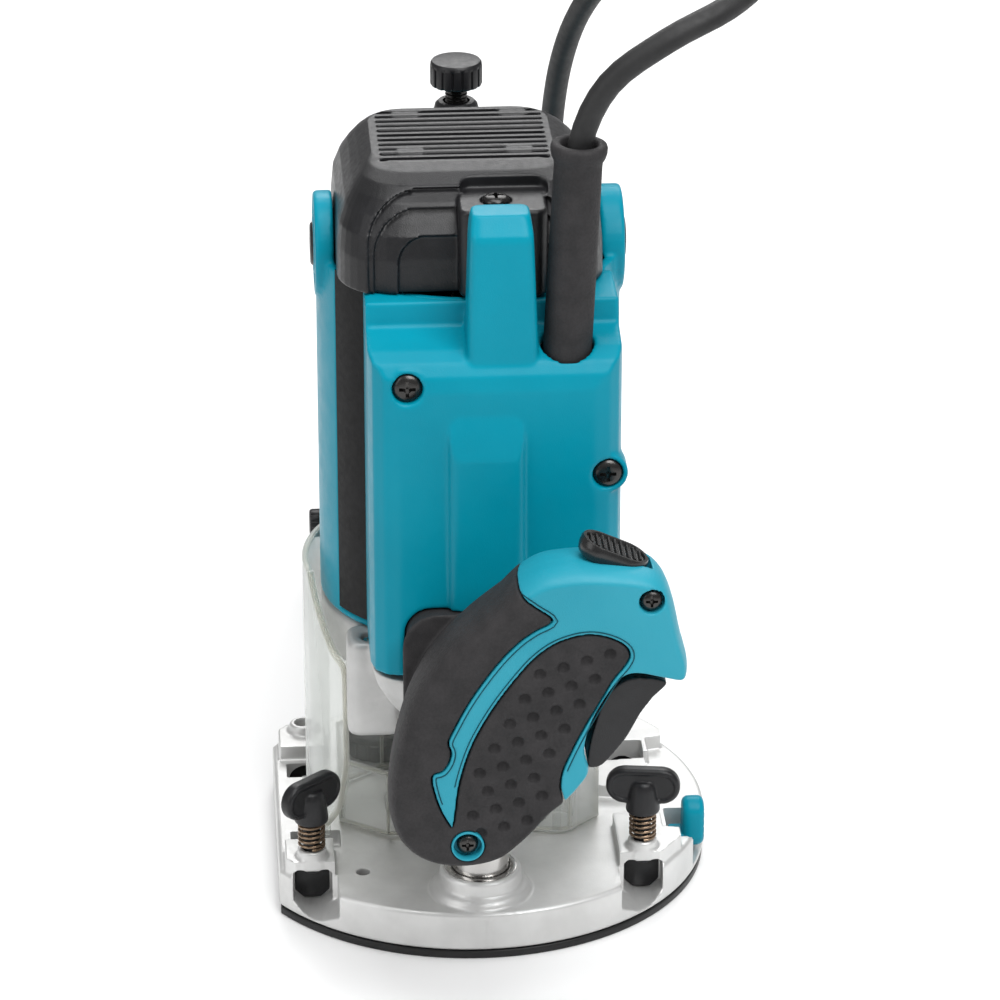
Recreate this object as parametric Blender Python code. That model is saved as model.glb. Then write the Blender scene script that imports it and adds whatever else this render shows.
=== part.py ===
"""Plunge router with two side handles, as separate closed solids.

Lengths are written in millimetres from the spindle axis at the underside of the sole, and the
builders turn them into metres. +X points to the handle with the trigger, -Y to the straight edge of
the base, +Z up. The head stands 30 mm below its highest place, held by the limit knob.
"""
import math

import bmesh
import bpy
from mathutils import Matrix, Vector

MM = 0.001
SPINDLE_Y = -7.5        # puts the middle of the base at the world origin
GAP = 0.3               # between any two pieces

BASE_R = 85.7
BASE_FLAT = 70.7        # spindle axis to the straight edge
SOLE_T = 3.0
BASE_TOP = 18.0
BLOCK_TOP = 23.0
RAIL_Y = 59.0           # guide rail channels run along X at +-RAIL_Y
RAIL_Z = 10.8
WING_X = 49.0
COLUMN_X = 66.0
COLUMN_R = 10.0
COLUMN_TOP = 174.0
HOUSING_R = 53.0
HOUSING_LOW = 107.3
SEAM_Z = 238.0          # top of the housing, foot of the cap
COVER_X = 79.5
GRIP_IN, GRIP_OUT = 108.0, 147.0
TURRET = (-44.0, -31.0)
POLE = (-44.0, -39.6)
CAP_SCREW = (44.0, 7.0)   # x, y
COVER_SCREWS = ((-25.0, 215.5), (42.8, 182.5))   # y, z of each
HANDLE_SCREWS = ((51.0, 163.0), (-10.4, 77.5))   # y, z of each

# Outlines of a handle seen from its side, as y, z.
GRIP_OUTLINE = ((8, 164), (17, 171), (27, 173), (37, 172), (49, 171.5), (57, 165), (62, 152), (65, 140),
                (62.5, 131.5), (56, 133), (49, 138), (43, 139), (38, 133), (33.5, 118), (31.5, 105), (29, 98),
                (24, 92), (17.5, 84), (9, 77), (-1, 71), (-10, 67.5), (-20, 69.5), (-29, 76), (-34, 86),
                (-35.6, 98), (-34, 113), (-29.5, 129), (-22, 143), (-10, 154))
FRONT_GRIP = ((-60, 50), (-16, 50), (-22, 74), (-27, 90), (-25, 97), (-21, 100), (-24, 108), (-19, 121),
              (-8, 136), (7, 148), (-2, 158), (-22, 166), (-60, 166))
PANEL = ((-6, 74), (6, 80), (18, 91), (24, 101), (25.5, 112), (33, 128), (38, 137), (34, 144), (24, 147),
         (12, 143), (0, 133), (-9, 120), (-14.5, 104), (-16, 88), (-14, 78))
TRIGGER = ((43.5, 138), (53, 135.5), (48.5, 128), (43, 116), (39, 105), (33.5, 98.5), (28, 96.5), (26, 103),
           (29, 117), (34, 131))

CORD_R = 4.25
COIL = (-224.0, 13.0)
COIL_R = 49.0           # middle of the turns: two columns of three turns
COIL_HALF = 8.8
COIL_TOP = 26.4
PLUG_ENTRY = (-220.3, -20.8)
PLUG_TURN = 20.0        # degrees the plug points away from +X

# From inside the guard up, back behind the machine and down on to the coil.
CORD_ROUTE = ((67, 31.3, 238), (67, 32.2, 268), (67, 33.4, 297), (68.7, 42.8, 318.8),
              (68.6, 61.9, 333.4), (60.3, 82.7, 341.6), (40.6, 95.6, 345), (16.6, 96.3, 344.8),
              (-6.4, 89.5, 341.7), (-27.6, 79.6, 335.8), (-47.4, 68.9, 327), (-66, 59, 315.2),
              (-83.4, 51, 300.3), (-99.2, 45.2, 283), (-113.4, 41.6, 263.7), (-126, 39.8, 243.1),
              (-136.8, 39.3, 221.5), (-146, 39.7, 199.1), (-153.5, 41.8, 176.1), (-160.4, 44.6, 152.7),
              (-166.8, 48.6, 129.2), (-173.6, 53, 105.6), (-181, 58, 82), (-187, 61.6, 60.7),
              (-191.8, 63.4, 49.1), (-200.1, 64.9, 39.7), (-211, 65.9, 33.5), (-224, 66.3, 31.2))

MATERIALS = {
    "cast": ((0.62, 0.62, 0.62), 0.38, 0.9),
    "steel": ((0.55, 0.54, 0.53), 0.25, 1.0),
    "dark_steel": ((0.10, 0.09, 0.09), 0.35, 0.9),
    "teal": ((0.0, 0.29, 0.41), 0.35, 0.0),
    "black": ((0.03, 0.03, 0.032), 0.42, 0.0),
    "soft": ((0.055, 0.052, 0.053), 0.75, 0.0),
    "clear": ((0.85, 0.86, 0.84), 0.08, 0.0),
    "copper": ((0.55, 0.25, 0.14), 0.4, 1.0),
    "carbon": ((0.04, 0.04, 0.04), 0.7, 0.0),
}


# ---------------------------------------------------------------- builders

def clear_scene():
    for obj in list(bpy.data.objects):
        bpy.data.objects.remove(obj)


def material(name):
    found = bpy.data.materials.get(name)
    if found:
        return found
    colour, rough, metal = MATERIALS[name]
    made = bpy.data.materials.new(name)
    made.use_nodes = True
    shader = made.node_tree.nodes["Principled BSDF"]
    shader.inputs["Base Color"].default_value = (*colour, 1.0)
    shader.inputs["Roughness"].default_value = rough
    shader.inputs["Metallic"].default_value = metal
    if name == "clear":
        shader.inputs["Alpha"].default_value = 0.35
    return made


def blank(bm):
    """An object from a bmesh in millimetres, with its faces turned outwards."""
    bmesh.ops.remove_doubles(bm, verts=bm.verts, dist=0.0005)
    bmesh.ops.recalc_face_normals(bm, faces=bm.faces)
    if bm.calc_volume(signed=True) < 0:
        bmesh.ops.reverse_faces(bm, faces=bm.faces)
    for vert in bm.verts:
        vert.co = Vector((vert.co.x, vert.co.y + SPINDLE_Y, vert.co.z)) * MM
    mesh = bpy.data.meshes.new("blank")
    bm.to_mesh(mesh)
    bm.free()
    obj = bpy.data.objects.new("blank", mesh)
    bpy.context.scene.collection.objects.link(obj)
    return obj


def combine(obj, others, operation):
    """Applies one Boolean after another and removes the tools."""
    for other in others:
        modifier = obj.modifiers.new("tool", "BOOLEAN")
        modifier.operation = operation
        modifier.solver = "EXACT"
        modifier.object = other
        graph = bpy.context.evaluated_depsgraph_get()
        result = bpy.data.meshes.new_from_object(obj.evaluated_get(graph))
        obj.modifiers.clear()
        obj.data = result
        bpy.data.objects.remove(other)
    return obj


def cut(obj, *others):
    return combine(obj, others, "DIFFERENCE")


def join(obj, *others):
    return combine(obj, others, "UNION")


def common(obj, *others):
    return combine(obj, others, "INTERSECT")


def part(name, obj, look, origin=(0.0, 0.0, 0.0), sharp=35):
    """Names a finished blank and puts its origin, in millimetres, on its joint axis."""
    obj.name = name
    obj.data.name = name
    obj.data.materials.clear()
    obj.data.materials.append(material(look))
    home = Vector((origin[0], origin[1] + SPINDLE_Y, origin[2])) * MM
    obj.data.transform(Matrix.Translation(-home))
    obj.location = home
    obj.data.shade_smooth()
    obj.data.set_sharp_from_angle(angle=math.radians(sharp))
    return obj


def placed(point, axis, level):
    """A point of a plane and a height along the axis, as x, y, z."""
    u, v = point
    return {"X": (level, u, v), "Y": (u, level, v), "Z": (u, v, level)}[axis]


def loft(layers, axis="Z"):
    """A closed solid through outlines with the same number of points, given as (level, points)."""
    bm = bmesh.new()
    rings = []
    for level, points in layers:
        rings.append([bm.verts.new(placed(p, axis, level)) for p in points])
    for low, high in zip(rings, rings[1:]):
        for i in range(len(low)):
            j = (i + 1) % len(low)
            bm.faces.new((low[i], low[j], high[j], high[i]))
    bm.faces.new(rings[0])
    bm.faces.new(rings[-1])
    return blank(bm)


def inset(points, by):
    """An outline moved inwards, corner by corner; by < 0 moves it outwards."""
    count = len(points)
    area = sum(points[i][0] * points[(i + 1) % count][1] - points[(i + 1) % count][0] * points[i][1]
               for i in range(count))
    turn = 1.0 if area > 0 else -1.0
    moved = []
    for i in range(count):
        before = Vector(points[i]) - Vector(points[i - 1])
        after = Vector(points[(i + 1) % count]) - Vector(points[i])
        first = Vector((-before.y, before.x)).normalized() * turn
        second = Vector((-after.y, after.x)).normalized() * turn
        middle = (first + second).normalized()
        reach = by / max(0.4, middle.dot(first))
        moved.append(tuple(Vector(points[i]) + middle * reach))
    return moved


def prism(points, low, high, axis="Z", rounding=0.0, steps=1):
    """An outline swept from low to high, with its two rims rounded over."""
    if not rounding:
        return loft([(low, points), (high, points)], axis)
    layers = []
    for i in range(steps + 1):
        angle = 0.5 * math.pi * i / steps
        shrunk = inset(points, rounding * (1 - math.cos(angle)))
        layers.append((low + rounding * (1 - math.sin(angle)), shrunk))
    layers.reverse()
    for i in range(steps + 1):
        angle = 0.5 * math.pi * i / steps
        shrunk = inset(points, rounding * (1 - math.cos(angle)))
        layers.append((high - rounding * (1 - math.sin(angle)), shrunk))
    return loft(layers, axis)


def box(x, y, z, rounding=0.0, axis="Z"):
    """A block from three (low, high) pairs; rounding bevels its edges along the axis and its rims."""
    spans = {"X": (y, z, x), "Y": (x, z, y), "Z": (x, y, z)}[axis]
    (a0, a1), (b0, b1), (low, high) = spans
    if not rounding:
        return prism([(a0, b0), (a1, b0), (a1, b1), (a0, b1)], low, high, axis)
    return prism(rounded(a0, a1, b0, b1, rounding), low, high, axis, rounding * 0.45)


def rounded(a0, a1, b0, b1, radius, steps=3):
    """A rectangle outline with round corners."""
    points = []
    for cx, cy, start in ((a1 - radius, b0 + radius, -90), (a1 - radius, b1 - radius, 0),
                          (a0 + radius, b1 - radius, 90), (a0 + radius, b0 + radius, 180)):
        for i in range(steps + 1):
            angle = math.radians(start + 90 * i / steps)
            points.append((cx + radius * math.cos(angle), cy + radius * math.sin(angle)))
    return points


def smooth_outline(points, steps=3):
    """A closed outline through the points, with steps pieces between each two."""
    count = len(points)
    made = []
    for i in range(count):
        p0, p1, p2, p3 = (Vector(points[(i + k - 1) % count]) for k in range(4))
        for s in range(steps):
            t = s / steps
            made.append(tuple(0.5 * (2 * p1 + (p2 - p0) * t + (2 * p0 - 5 * p1 + 4 * p2 - p3) * t * t
                                     + (3 * p1 - p0 - 3 * p2 + p3) * t ** 3)))
    return made


def smooth_path(points, steps):
    """An open line through the points, with steps pieces between each two."""
    made = []
    count = len(points)
    for i in range(count - 1):
        p0, p1, p2, p3 = (Vector(points[min(max(i + k - 1, 0), count - 1)]) for k in range(4))
        for s in range(steps):
            t = s / steps
            made.append(0.5 * (2 * p1 + (p2 - p0) * t + (2 * p0 - 5 * p1 + 4 * p2 - p3) * t * t
                               + (3 * p1 - p0 - 3 * p2 + p3) * t ** 3))
    made.append(Vector(points[-1]))
    return made


def arc(radius, start, end, steps, centre=(0.0, 0.0)):
    """Points on a circle from one angle to another, in degrees."""
    points = []
    for i in range(steps + 1):
        angle = math.radians(start + (end - start) * i / steps)
        points.append((centre[0] + radius * math.cos(angle), centre[1] + radius * math.sin(angle)))
    return points


def lathe(profile, centre=(0.0, 0.0), axis="Z", steps=20, ring=False):
    """Turns (radius, height) points round the axis, closed by flat ends or, for a ring, on itself."""
    layers = []
    for radius, height in profile:
        layers.append((height, arc(radius, 0, 360 - 360 / steps, steps - 1, centre)))
    if not ring:
        return loft(layers, axis)
    bm = bmesh.new()
    rings = []
    for height, points in layers:
        rings.append([bm.verts.new(placed(p, axis, height)) for p in points])
    for low, high in zip(rings, rings[1:] + rings[:1]):
        for i in range(steps):
            j = (i + 1) % steps
            bm.faces.new((low[i], low[j], high[j], high[i]))
    return blank(bm)


def rod(radius, low, high, centre=(0.0, 0.0), axis="Z", steps=20, chamfer=0.0):
    """A round bar, with its ends chamfered when asked."""
    profile = [(radius, low), (radius, high)]
    if chamfer:
        profile = [(radius - chamfer, low), (radius, low + chamfer),
                   (radius, high - chamfer), (radius - chamfer, high)]
    return lathe(profile, centre, axis, steps)


def tube(outer, inner, low, high, centre=(0.0, 0.0), axis="Z", steps=20):
    return lathe([(outer, low), (outer, high), (inner, high), (inner, low)], centre, axis, steps, True)


def swept(path, radius, sides=8):
    """A round wire along a list of points, with flat ends."""
    bm = bmesh.new()
    points = [Vector(p) for p in path]
    side = None
    rings = []
    for i, point in enumerate(points):
        ahead = (points[min(i + 1, len(points) - 1)] - points[max(i - 1, 0)]).normalized()
        if side is None:
            side = ahead.orthogonal().normalized()
        side = (side - ahead * side.dot(ahead)).normalized()
        other = ahead.cross(side)
        ring = []
        for k in range(sides):
            angle = 2 * math.pi * k / sides
            out = side * radius * math.cos(angle) + other * radius * math.sin(angle)
            ring.append(bm.verts.new(point + out))
        rings.append(ring)
    for low, high in zip(rings, rings[1:]):
        for k in range(sides):
            j = (k + 1) % sides
            bm.faces.new((low[k], low[j], high[j], high[k]))
    bm.faces.new(rings[0])
    bm.faces.new(rings[-1])
    return blank(bm)


def helix(centre, radius, low, high, turns, per_turn=10):
    count = int(turns * per_turn)
    points = []
    for i in range(count + 1):
        angle = 2 * math.pi * i / per_turn
        points.append((centre[0] + radius * math.cos(angle), centre[1] + radius * math.sin(angle),
                       low + (high - low) * i / count))
    return points


def turn_mesh(obj, spot, degrees):
    """Turns a blank about a vertical axis."""
    home = Vector((spot[0], spot[1] + SPINDLE_Y, 0)) * MM
    about = Matrix.Translation(home) @ Matrix.Rotation(math.radians(degrees), 4, "Z")
    obj.data.transform(about @ Matrix.Translation(-home))


def mirrored(points):
    return [(-x, y) for x, y in points]


# ---------------------------------------------------------------- base

def base_outline(margin=0.0, steps=32):
    radius = BASE_R - margin
    edge = BASE_FLAT - margin
    start = -math.degrees(math.asin(edge / radius))
    return arc(radius, start, 180 - start, steps)


def rail_blocks():
    """Four raised blocks, one at each end of the two rail channels."""
    front = [(36, -68.4), (50.2, -68.4), (54, -65.2), (54, -51), (36, -51)]
    rear = [(24, 50.5), (54, 50.5), (54, 65.3), (42, 73.6), (36, 73.6), (34.5, 67.8), (24, 67.8)]
    blocks = []
    for outline in (front, rear, mirrored(front), mirrored(rear)):
        blocks.append(prism(outline, SOLE_T + 1.3, BLOCK_TOP))
    ridge = [(-18, 47), (1, 47), (4, 66), (-20, 66)]
    blocks.append(prism(ridge, SOLE_T + 1.3, BLOCK_TOP - 0.6))
    return blocks


def base_casting():
    base = prism(base_outline(), SOLE_T + GAP, BASE_TOP, rounding=1.0, steps=1)
    join(base, *rail_blocks())
    for side in (1, -1):
        spot = (side * COLUMN_X, 0)
        join(base, lathe([(17.2, 12), (17.2, 19.5), (15.8, 21.5), (14.2, 22), (14.2, 26.2),
                          (13.4, 27)], spot, steps=24))
        for end in (1, -1):
            join(base, rod(5.2, 20, 27, (side * WING_X, end * RAIL_Y), chamfer=0.5, steps=14))
    tools = [rod(31.0, 0, 40, steps=24)]
    for side in (1, -1):
        tools.append(rod(COLUMN_R + GAP, 6, 40, (side * COLUMN_X, 0), steps=20))
        for end in (1, -1):
            y = end * RAIL_Y
            tools.append(rod(3.3, 12, 40, (side * WING_X, y), steps=10))
            tools.append(box(sorted((side * 46, side * 95)), (y - 7, y + 7), (4.9, 18.6), 0, "X"))
            tools.append(box(sorted((side * 54.3, side * 95)), (y - 9, y + 9), (7.5, 40)))
    for end in (1, -1):
        tools.append(rod(6.0, -95, 95, (end * RAIL_Y, RAIL_Z), "X", 12))
    tools.append(box((-33, -22), (-66, -54), (4.8, 40)))
    tools.append(box((20, 33), (-66, -48), (12, 40)))
    tools.append(box((-33, -22), (53, 66), (4.8, 40)))
    tools.append(box((11, 33), (70, 95), (6, 40)))
    tools.append(rod(2.5, 8, 40, (52, -41), steps=12))
    cut(base, *tools)
    part("base_casting", base, "cast")


def sole():
    plate = prism(base_outline(0.4), 0, SOLE_T, rounding=0.6, steps=1)
    cut(plate, rod(29.0, -5, 10, steps=32))
    part("base_plate", plate, "black")


def columns():
    for side, name in ((1, "column_right"), (-1, "column_left")):
        shape = lathe([(7.0, 6.6), (COLUMN_R, 6.6), (COLUMN_R, COLUMN_TOP - 1), (COLUMN_R - 1, COLUMN_TOP),
                       (7.0, COLUMN_TOP)], (side * COLUMN_X, 0), ring=True)
        part(name, shape, "steel")


def limit_stop():
    spot = (-COLUMN_X, 0)
    threads = [(4.0, 6.6)]
    z = 267.0
    while z < 280.0:
        threads += [(4.0, z), (3.4, z + 0.9)]
        z += 1.8
    part("limit_rod", lathe(threads, spot, steps=12), "dark_steel")

    ribs = []
    for i in range(32):
        angle = 2 * math.pi * i / 32
        radius = 9.3 if i % 4 < 2 else 8.5
        ribs.append((spot[0] + radius * math.cos(angle), spot[1] + radius * math.sin(angle)))
    knob = prism(ribs, 268.2, 282.6, rounding=1.2, steps=1)
    cut(knob, rod(4.4, 260, 281.4, spot, steps=16))
    part("limit_knob", knob, "black", (*spot, 268.2))


def shields():
    inner = arc(57.2, -120, -52, 22)
    outer = arc(59.4, -52, -120, 22)
    shield = prism(inner + outer, 18.4, 118.0)
    slope = [(-30, 130), (12, 119), (30, 96), (46, 86), (60, 86), (60, 140), (-30, 140)]
    foot = [(25, 10), (60, 10), (60, 60), (37, 52), (33, 34), (25, 24)]
    cut(shield, prism(slope, -80, 0, "Y"), prism(foot, -80, 0, "Y"))
    join(shield, box((-8, 8), (-60.8, -57.6), (18.4, 26), 0.8))
    part("chip_deflector", shield, "clear")

    plan = [(27, -31), (27, 35), (17, 46), (-17, 46), (-27, 35), (-27, -31), (-15, -48), (15, -48)]
    cover = prism(plan, 18.4, 44.0, rounding=0.8, steps=1)
    cut(cover, prism(inset(plan, 2.0), 10, 60))
    part("dust_cover", cover, "clear")


def plunge_springs():
    for side, name in ((1, "plunge_spring_right"), (-1, "plunge_spring_left")):
        spot = (side * COLUMN_X, 0)
        low, high = 8.2, 220.0
        wire = helix(spot, 5.5, low, high, 13, 8)
        part(name, swept(wire, 0.7, 3), "dark_steel", (*spot, low - 0.7))


def clamp_bolts():
    turns = {"front": -38.0, "rear": 82.0}
    for end, name in ((-1, "front"), (1, "rear")):
        spot = (WING_X, end * RAIL_Y)
        wire = helix(spot, 4.5, 27.9, 37.0, 4, 8)
        part("clamp_spring_" + name, swept(wire, 0.6, 4), "steel", (*spot, 27.3))

        bolt = lathe([(2.4, 17.6), (3.0, 18.2), (3.0, 37.9), (5.8, 37.9), (5.6, 44), (4.6, 48.5),
                      (3.6, 49.6)], spot, steps=16)
        wings = prism([(spot[0] + u, v) for u, v in rounded(-13.3, 13.3, 41, 55, 6.8, 4)],
                      spot[1] - 2.3, spot[1] + 2.3, "Y", 1.0, 1)
        turn_mesh(wings, spot, turns[name])
        join(bolt, wings)
        part("wing_bolt_" + name, bolt, "black", (*spot, 37.9))


def stop_turret():
    block = lathe([(13.0, BASE_TOP + GAP), (13.0, 26.2), (12.2, 27)], TURRET, steps=24)
    spots = []
    for angle in (270, 30, 150):
        spots.append(arc(8.6, angle, angle, 1, TURRET)[0])
    cut(block, *[rod(2.8, 20, 40, spot, steps=12) for spot in spots])
    part("stopper_turret", block, "black", (*TURRET, BASE_TOP + GAP))
    for number, (spot, top) in enumerate(zip(spots, (31.0, 35.0, 39.0)), 1):
        profile = [(2.5, 20.4), (2.5, top - 3), (3.6, top - 3), (3.6, top - 0.4), (3.2, top)]
        screw = lathe(profile, spot, steps=12)
        part("stop_screw_%d" % number, screw, "steel", (*spot, 20.4))


def lock_plate_lever():
    lever = prism([(x, z) for x, z in rounded(14.5, 25.5, 8.2, 27.0, 4.5)], 76.0, 84.0, "Y", 1.5, 1)
    join(lever, box((15.5, 24.5), (71.5, 78), (8.6, 14.0), 1.0))
    part("lock_plate_lever", lever, "teal", (20, 78, 11))


# ---------------------------------------------------------------- head

def bracket():
    plate = prism(arc(HOUSING_R, 0, 350, 35), 88, 107, rounding=0.8, steps=1)
    for side in (1, -1):
        web = [(side * 40, -16), (side * 66, -13), (side * 66, 13), (side * 40, 16)]
        join(plate, prism(web, 90, 106.4), rod(13.6, 68, 150, (side * COLUMN_X, 0), chamfer=1.2, steps=24))
    join(plate, lathe([(19.5, 66), (22, 69), (22, 92)], steps=24))
    join(plate, box((33, 50), (-45.5, -26), (66, 107), 4.0))
    join(plate, rod(8.6, 90, 121, POLE, steps=24, chamfer=0.8))
    cut(plate,
        lathe([(12.6, 40), (12.6, 75.7), (17.8, 75.7), (17.8, 86.3), (13.5, 86.3), (13.5, 130)]),
        rod(HOUSING_R + 0.8, 107.15, 155, steps=36),
        rod(3.4, 104, 120, (43, -36), steps=16),
        rod(4.4, 80, 130, POLE, steps=16),
        rod(3.4, -60, -40, (POLE[0], 111), "Y", 12),
        rod(5.4, 30, 80, (0, 97), "Y", 16),
        *[rod(COLUMN_R + GAP, 60, 160, (side * COLUMN_X, 0)) for side in (1, -1)])
    part("motor_bracket", plate, "cast")


def housing():
    shell = rod(HOUSING_R, HOUSING_LOW, SEAM_Z, steps=40)
    tower = prism(rounded(-83, -44, -19, 19, 9), HOUSING_LOW, 256, rounding=2.0, steps=2)
    join(shell, tower, rod(9.0, 250, 264, (-COLUMN_X, 0), chamfer=0.8))
    for side in (1, -1):
        boss = prism(arc(18.5, 0, 345, 23, (0, SEAM_Z)), *sorted((side * 47.2, side * 53.6)), "Y", 1.0, 1)
        join(shell, boss)
    cut(shell,
        rod(HOUSING_R - 3.2, 100, SEAM_Z + 40, steps=40),
        rod(14.0, 100, 252, (-COLUMN_X, 0), steps=24),
        rod(5.2, 240, 280, (-COLUMN_X, 0), steps=16),
        *[rod(8.2, *sorted((side * 50.6, side * 60)), (0, SEAM_Z), "Y", 20) for side in (1, -1)])
    for side in (1, -1):
        cut(shell, prism(band_outline(side, HOUSING_R - 1.9, HOUSING_R + 4), 110.0, SEAM_Z + 2))
    part("motor_housing", shell, "teal")
    for side, name in ((1, "right"), (-1, "left")):
        panel = prism(band_outline(side, HOUSING_R - 1.6, HOUSING_R + 0.3, 0.35), 110.4, SEAM_Z)
        part("side_band_" + name, panel, "black")


def band_outline(side, inner, outer, trim=0.0):
    """The black band between the front of the housing and the cover, seen from above."""
    points = arc(inner, -62.5 + trim, -44.0 - trim, 6) + arc(outer, -44.0 - trim, -62.5 + trim, 6)
    return points if side > 0 else mirrored(points)


def cap_rings(trim=0.0):
    """Heights and plan outlines of the cap, from its foot to the flat top."""
    sizes = [(SEAM_Z + GAP, 46.6, 50.0, 46.6, 44.5, 22), (256, 46.0, 49.6, 46.2, 44.0, 22),
             (264, 43.0, 47.0, 43.6, 41.0, 20), (270.5, 37.5, 40.5, 39.5, 36.0, 17),
             (274.6, 33.0, 30.0, 36.0, 32.0, 14), (276, 30.0, 23.0, 33.5, 29.0, 12)]
    rings = []
    for z, left, right, front, rear, radius in sizes:
        outline = rounded(-left + trim, right - trim, -front + trim, rear - trim, max(4, radius - trim), 5)
        rings.append((z, outline))
    return rings


def top_cap():
    cap = loft(cap_rings())
    join(cap, prism(rounded(20, 55.5, -6.0, 24.0, 4), SEAM_Z + GAP, 270.4, rounding=1.5, steps=2))
    hollow = [(z - 3.2, outline) for z, outline in cap_rings(3.2)]
    cut(cap, loft([(SEAM_Z - 10, hollow[0][1])] + hollow[1:]))
    join(cap, rod(19.0, 249.0, 274.0, steps=28))
    tools = [rod(15.3, 240, 262.4, steps=26), rod(11.5, 240, 268.0, steps=20),
             rod(2.9, 262, 285, CAP_SCREW, steps=12), rod(5.2, 268.6, 285, CAP_SCREW, steps=16)]
    for i in range(11):
        x = -27.5 + 4.6 * i
        tools.append(box((x, x + 2.1), (-31, 27), (270.4, 280)))
    for side in (1, -1):
        tools.append(box((-20, 20), sorted((side * 46.6, side * 60)), (SEAM_Z - 5, 257.5)))
    tools.append(rod(14.4, 230, 290, (-COLUMN_X, 0), steps=24))
    cut(cap, *tools)
    part("top_cap", cap, "black")


def right_cover():
    plan = [(30, -38), (70, -38), (76.5, -35.5), (79.5, -29), (79.5, 39), (76.5, 45.5), (70, 48), (30, 48)]
    side = [(30, 109), (79.5, 109), (79.5, 217), (76.5, 223), (71, 226), (57.6, 228.6),
            (56.2, 237.7), (30, 237.7)]
    cover = prism(plan, 100, 250)
    common(cover, prism(side, -60, 60, "Y"))
    tower = loft([(221, rounded(56, 76.4, -4.6, 19.3, 3)), (272, rounded(58, 75.4, -3.4, 17.6, 3)),
                  (274, rounded(59.5, 73.8, -2.0, 16.2, 3))])
    bulge = loft([(109.4, rounded(70, 83.0, -12, 15, 4, 2)), (196, rounded(70, 83.0, -10, 14, 4, 2)),
                  (212, rounded(70, 79.7, -5, 9, 3, 2))])
    join(cover, tower, bulge)
    inner_plan = inset(plan, 2.8)
    inner = prism(inner_plan, 90, 250)
    inner_side = [(20, 90), (76.7, 90), (76.7, 215.8), (74.4, 220.4), (70.2, 223.1), (51, 224.8), (20, 224.8)]
    common(inner, prism(inner_side, -60, 60, "Y"))
    arch = prism(rounded(-26.7, 12.2, 95, 134.3, 8.6, 3), 60, 100, "X")
    cut(cover, inner, rod(HOUSING_R + 0.7, 90, 260, steps=40),
        rod(14.0, 90, 200, (COLUMN_X, 0), steps=24),
        prism(rounded(61, 72.5, 0.5, 14.5, 3), 200, 270),
        rod(9.0, 212, 240, (67, 29.4), steps=20), arch)
    for spot in COVER_SCREWS:
        join(cover, rod(6.9, 68, 78, spot, "X", 16))
        cut(cover, rod(5.4, 75.6, 95, spot, "X", 14), rod(2.9, 60, 95, spot, "X", 10))
    part("right_cover", cover, "teal")


def screw_head(name, centre, level, axis, radius, depth, look="dark_steel"):
    """A cross-recessed screw whose head ends at the level, with a short shank behind."""
    head = lathe([(radius * 0.52, level - depth), (radius * 0.52, level - 2.2),
                  (radius, level - 2.2), (radius, level - 0.7), (radius * 0.7, level)],
                 centre, axis, 12)
    for a, b in ((radius * 0.55, 0.45), (0.45, radius * 0.55)):
        deep = (level - 1.2, level + 2)
        wide = (centre[0] - a, centre[0] + a)
        high = (centre[1] - b, centre[1] + b)
        spans = {"X": (deep, wide, high), "Z": (wide, high, deep)}
        cut(head, box(*spans[axis]))
    return part(name, head, look, placed(centre, axis, level))


def cord_guard():
    foot, top = Vector((67, 29.2, 216.0)), Vector((67, 33.2, 298.0))
    lean = math.atan2(top.y - foot.y, top.z - foot.z)
    height = (top - foot).length
    shape = lathe([(8.3, 0), (8.1, height - 6), (9.2, height - 3.4), (9.5, height - 1), (9.0, height),
                   (6.2, height), (5.6, height - 3), (5.6, 14)], steps=20)
    home = Vector((0, SPINDLE_Y, 0)) * MM
    place = Matrix.Translation(Vector((foot.x, foot.y + SPINDLE_Y, foot.z)) * MM)
    shape.data.transform(place @ Matrix.Rotation(-lean, 4, "X") @ Matrix.Translation(-home))
    part("cord_guard", shape, "soft")


def motor_internals():
    stator = tube(45.5, 28.6, 130, 190, steps=32)
    part("stator", stator, "steel")
    part("bearing_lower", tube(17.4, 9.2, 76, 86), "steel")
    part("bearing_upper", tube(15.0, 5.6, 252.6, 262.0), "steel")
    shaft = lathe([(8.9, 63), (8.9, 92), (7.0, 94), (7.0, 132), (27.6, 132), (27.6, 188), (7.0, 188),
                   (7.0, 218), (5.3, 220), (5.3, 263)], steps=28)
    part("armature", shaft, "steel", (0, 0, 63))
    part("commutator", tube(15.0, 5.6, 224, 248), "copper", (0, 0, 224))
    fan = lathe([(43, 111), (43, 113), (12, 113), (12, 124)], steps=32)
    for i in range(9):
        blade = box((9, 41), (-1.0, 1.0), (112, 121))
        turn_mesh(blade, (0, 0), 40 * i + 3)
        join(fan, blade)
    cut(fan, rod(7.3, 100, 130, steps=20))
    part("cooling_fan", fan, "black", (0, 0, 111))
    hexagon = arc(13.8, 0, 300, 5)
    nut = prism(hexagon, 43.5, 62.4, rounding=1.0, steps=1)
    cut(nut, rod(6.0, 30, 80, steps=24))
    part("collet_nut", nut, "steel", (0, 0, 43.5))
    for side, name in ((-1, "front"), (1, "rear")):
        cap = lathe([(7.6, side * 50.9), (7.6, side * 54.0), (6.8, side * 54.8)],
                    (0, SEAM_Z), "Y", 20)
        slot = sorted((side * 53.4, side * 60))
        cut(cap, box((-6, 6), slot, (SEAM_Z - 0.8, SEAM_Z + 0.8)))
        part("brush_cap_" + name, cap, "black")
        brush = box((-3.2, 3.2), sorted((side * 15.4, side * 36)), (230, 243))
        part("carbon_brush_" + name, brush, "carbon")


# ---------------------------------------------------------------- handles

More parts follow.
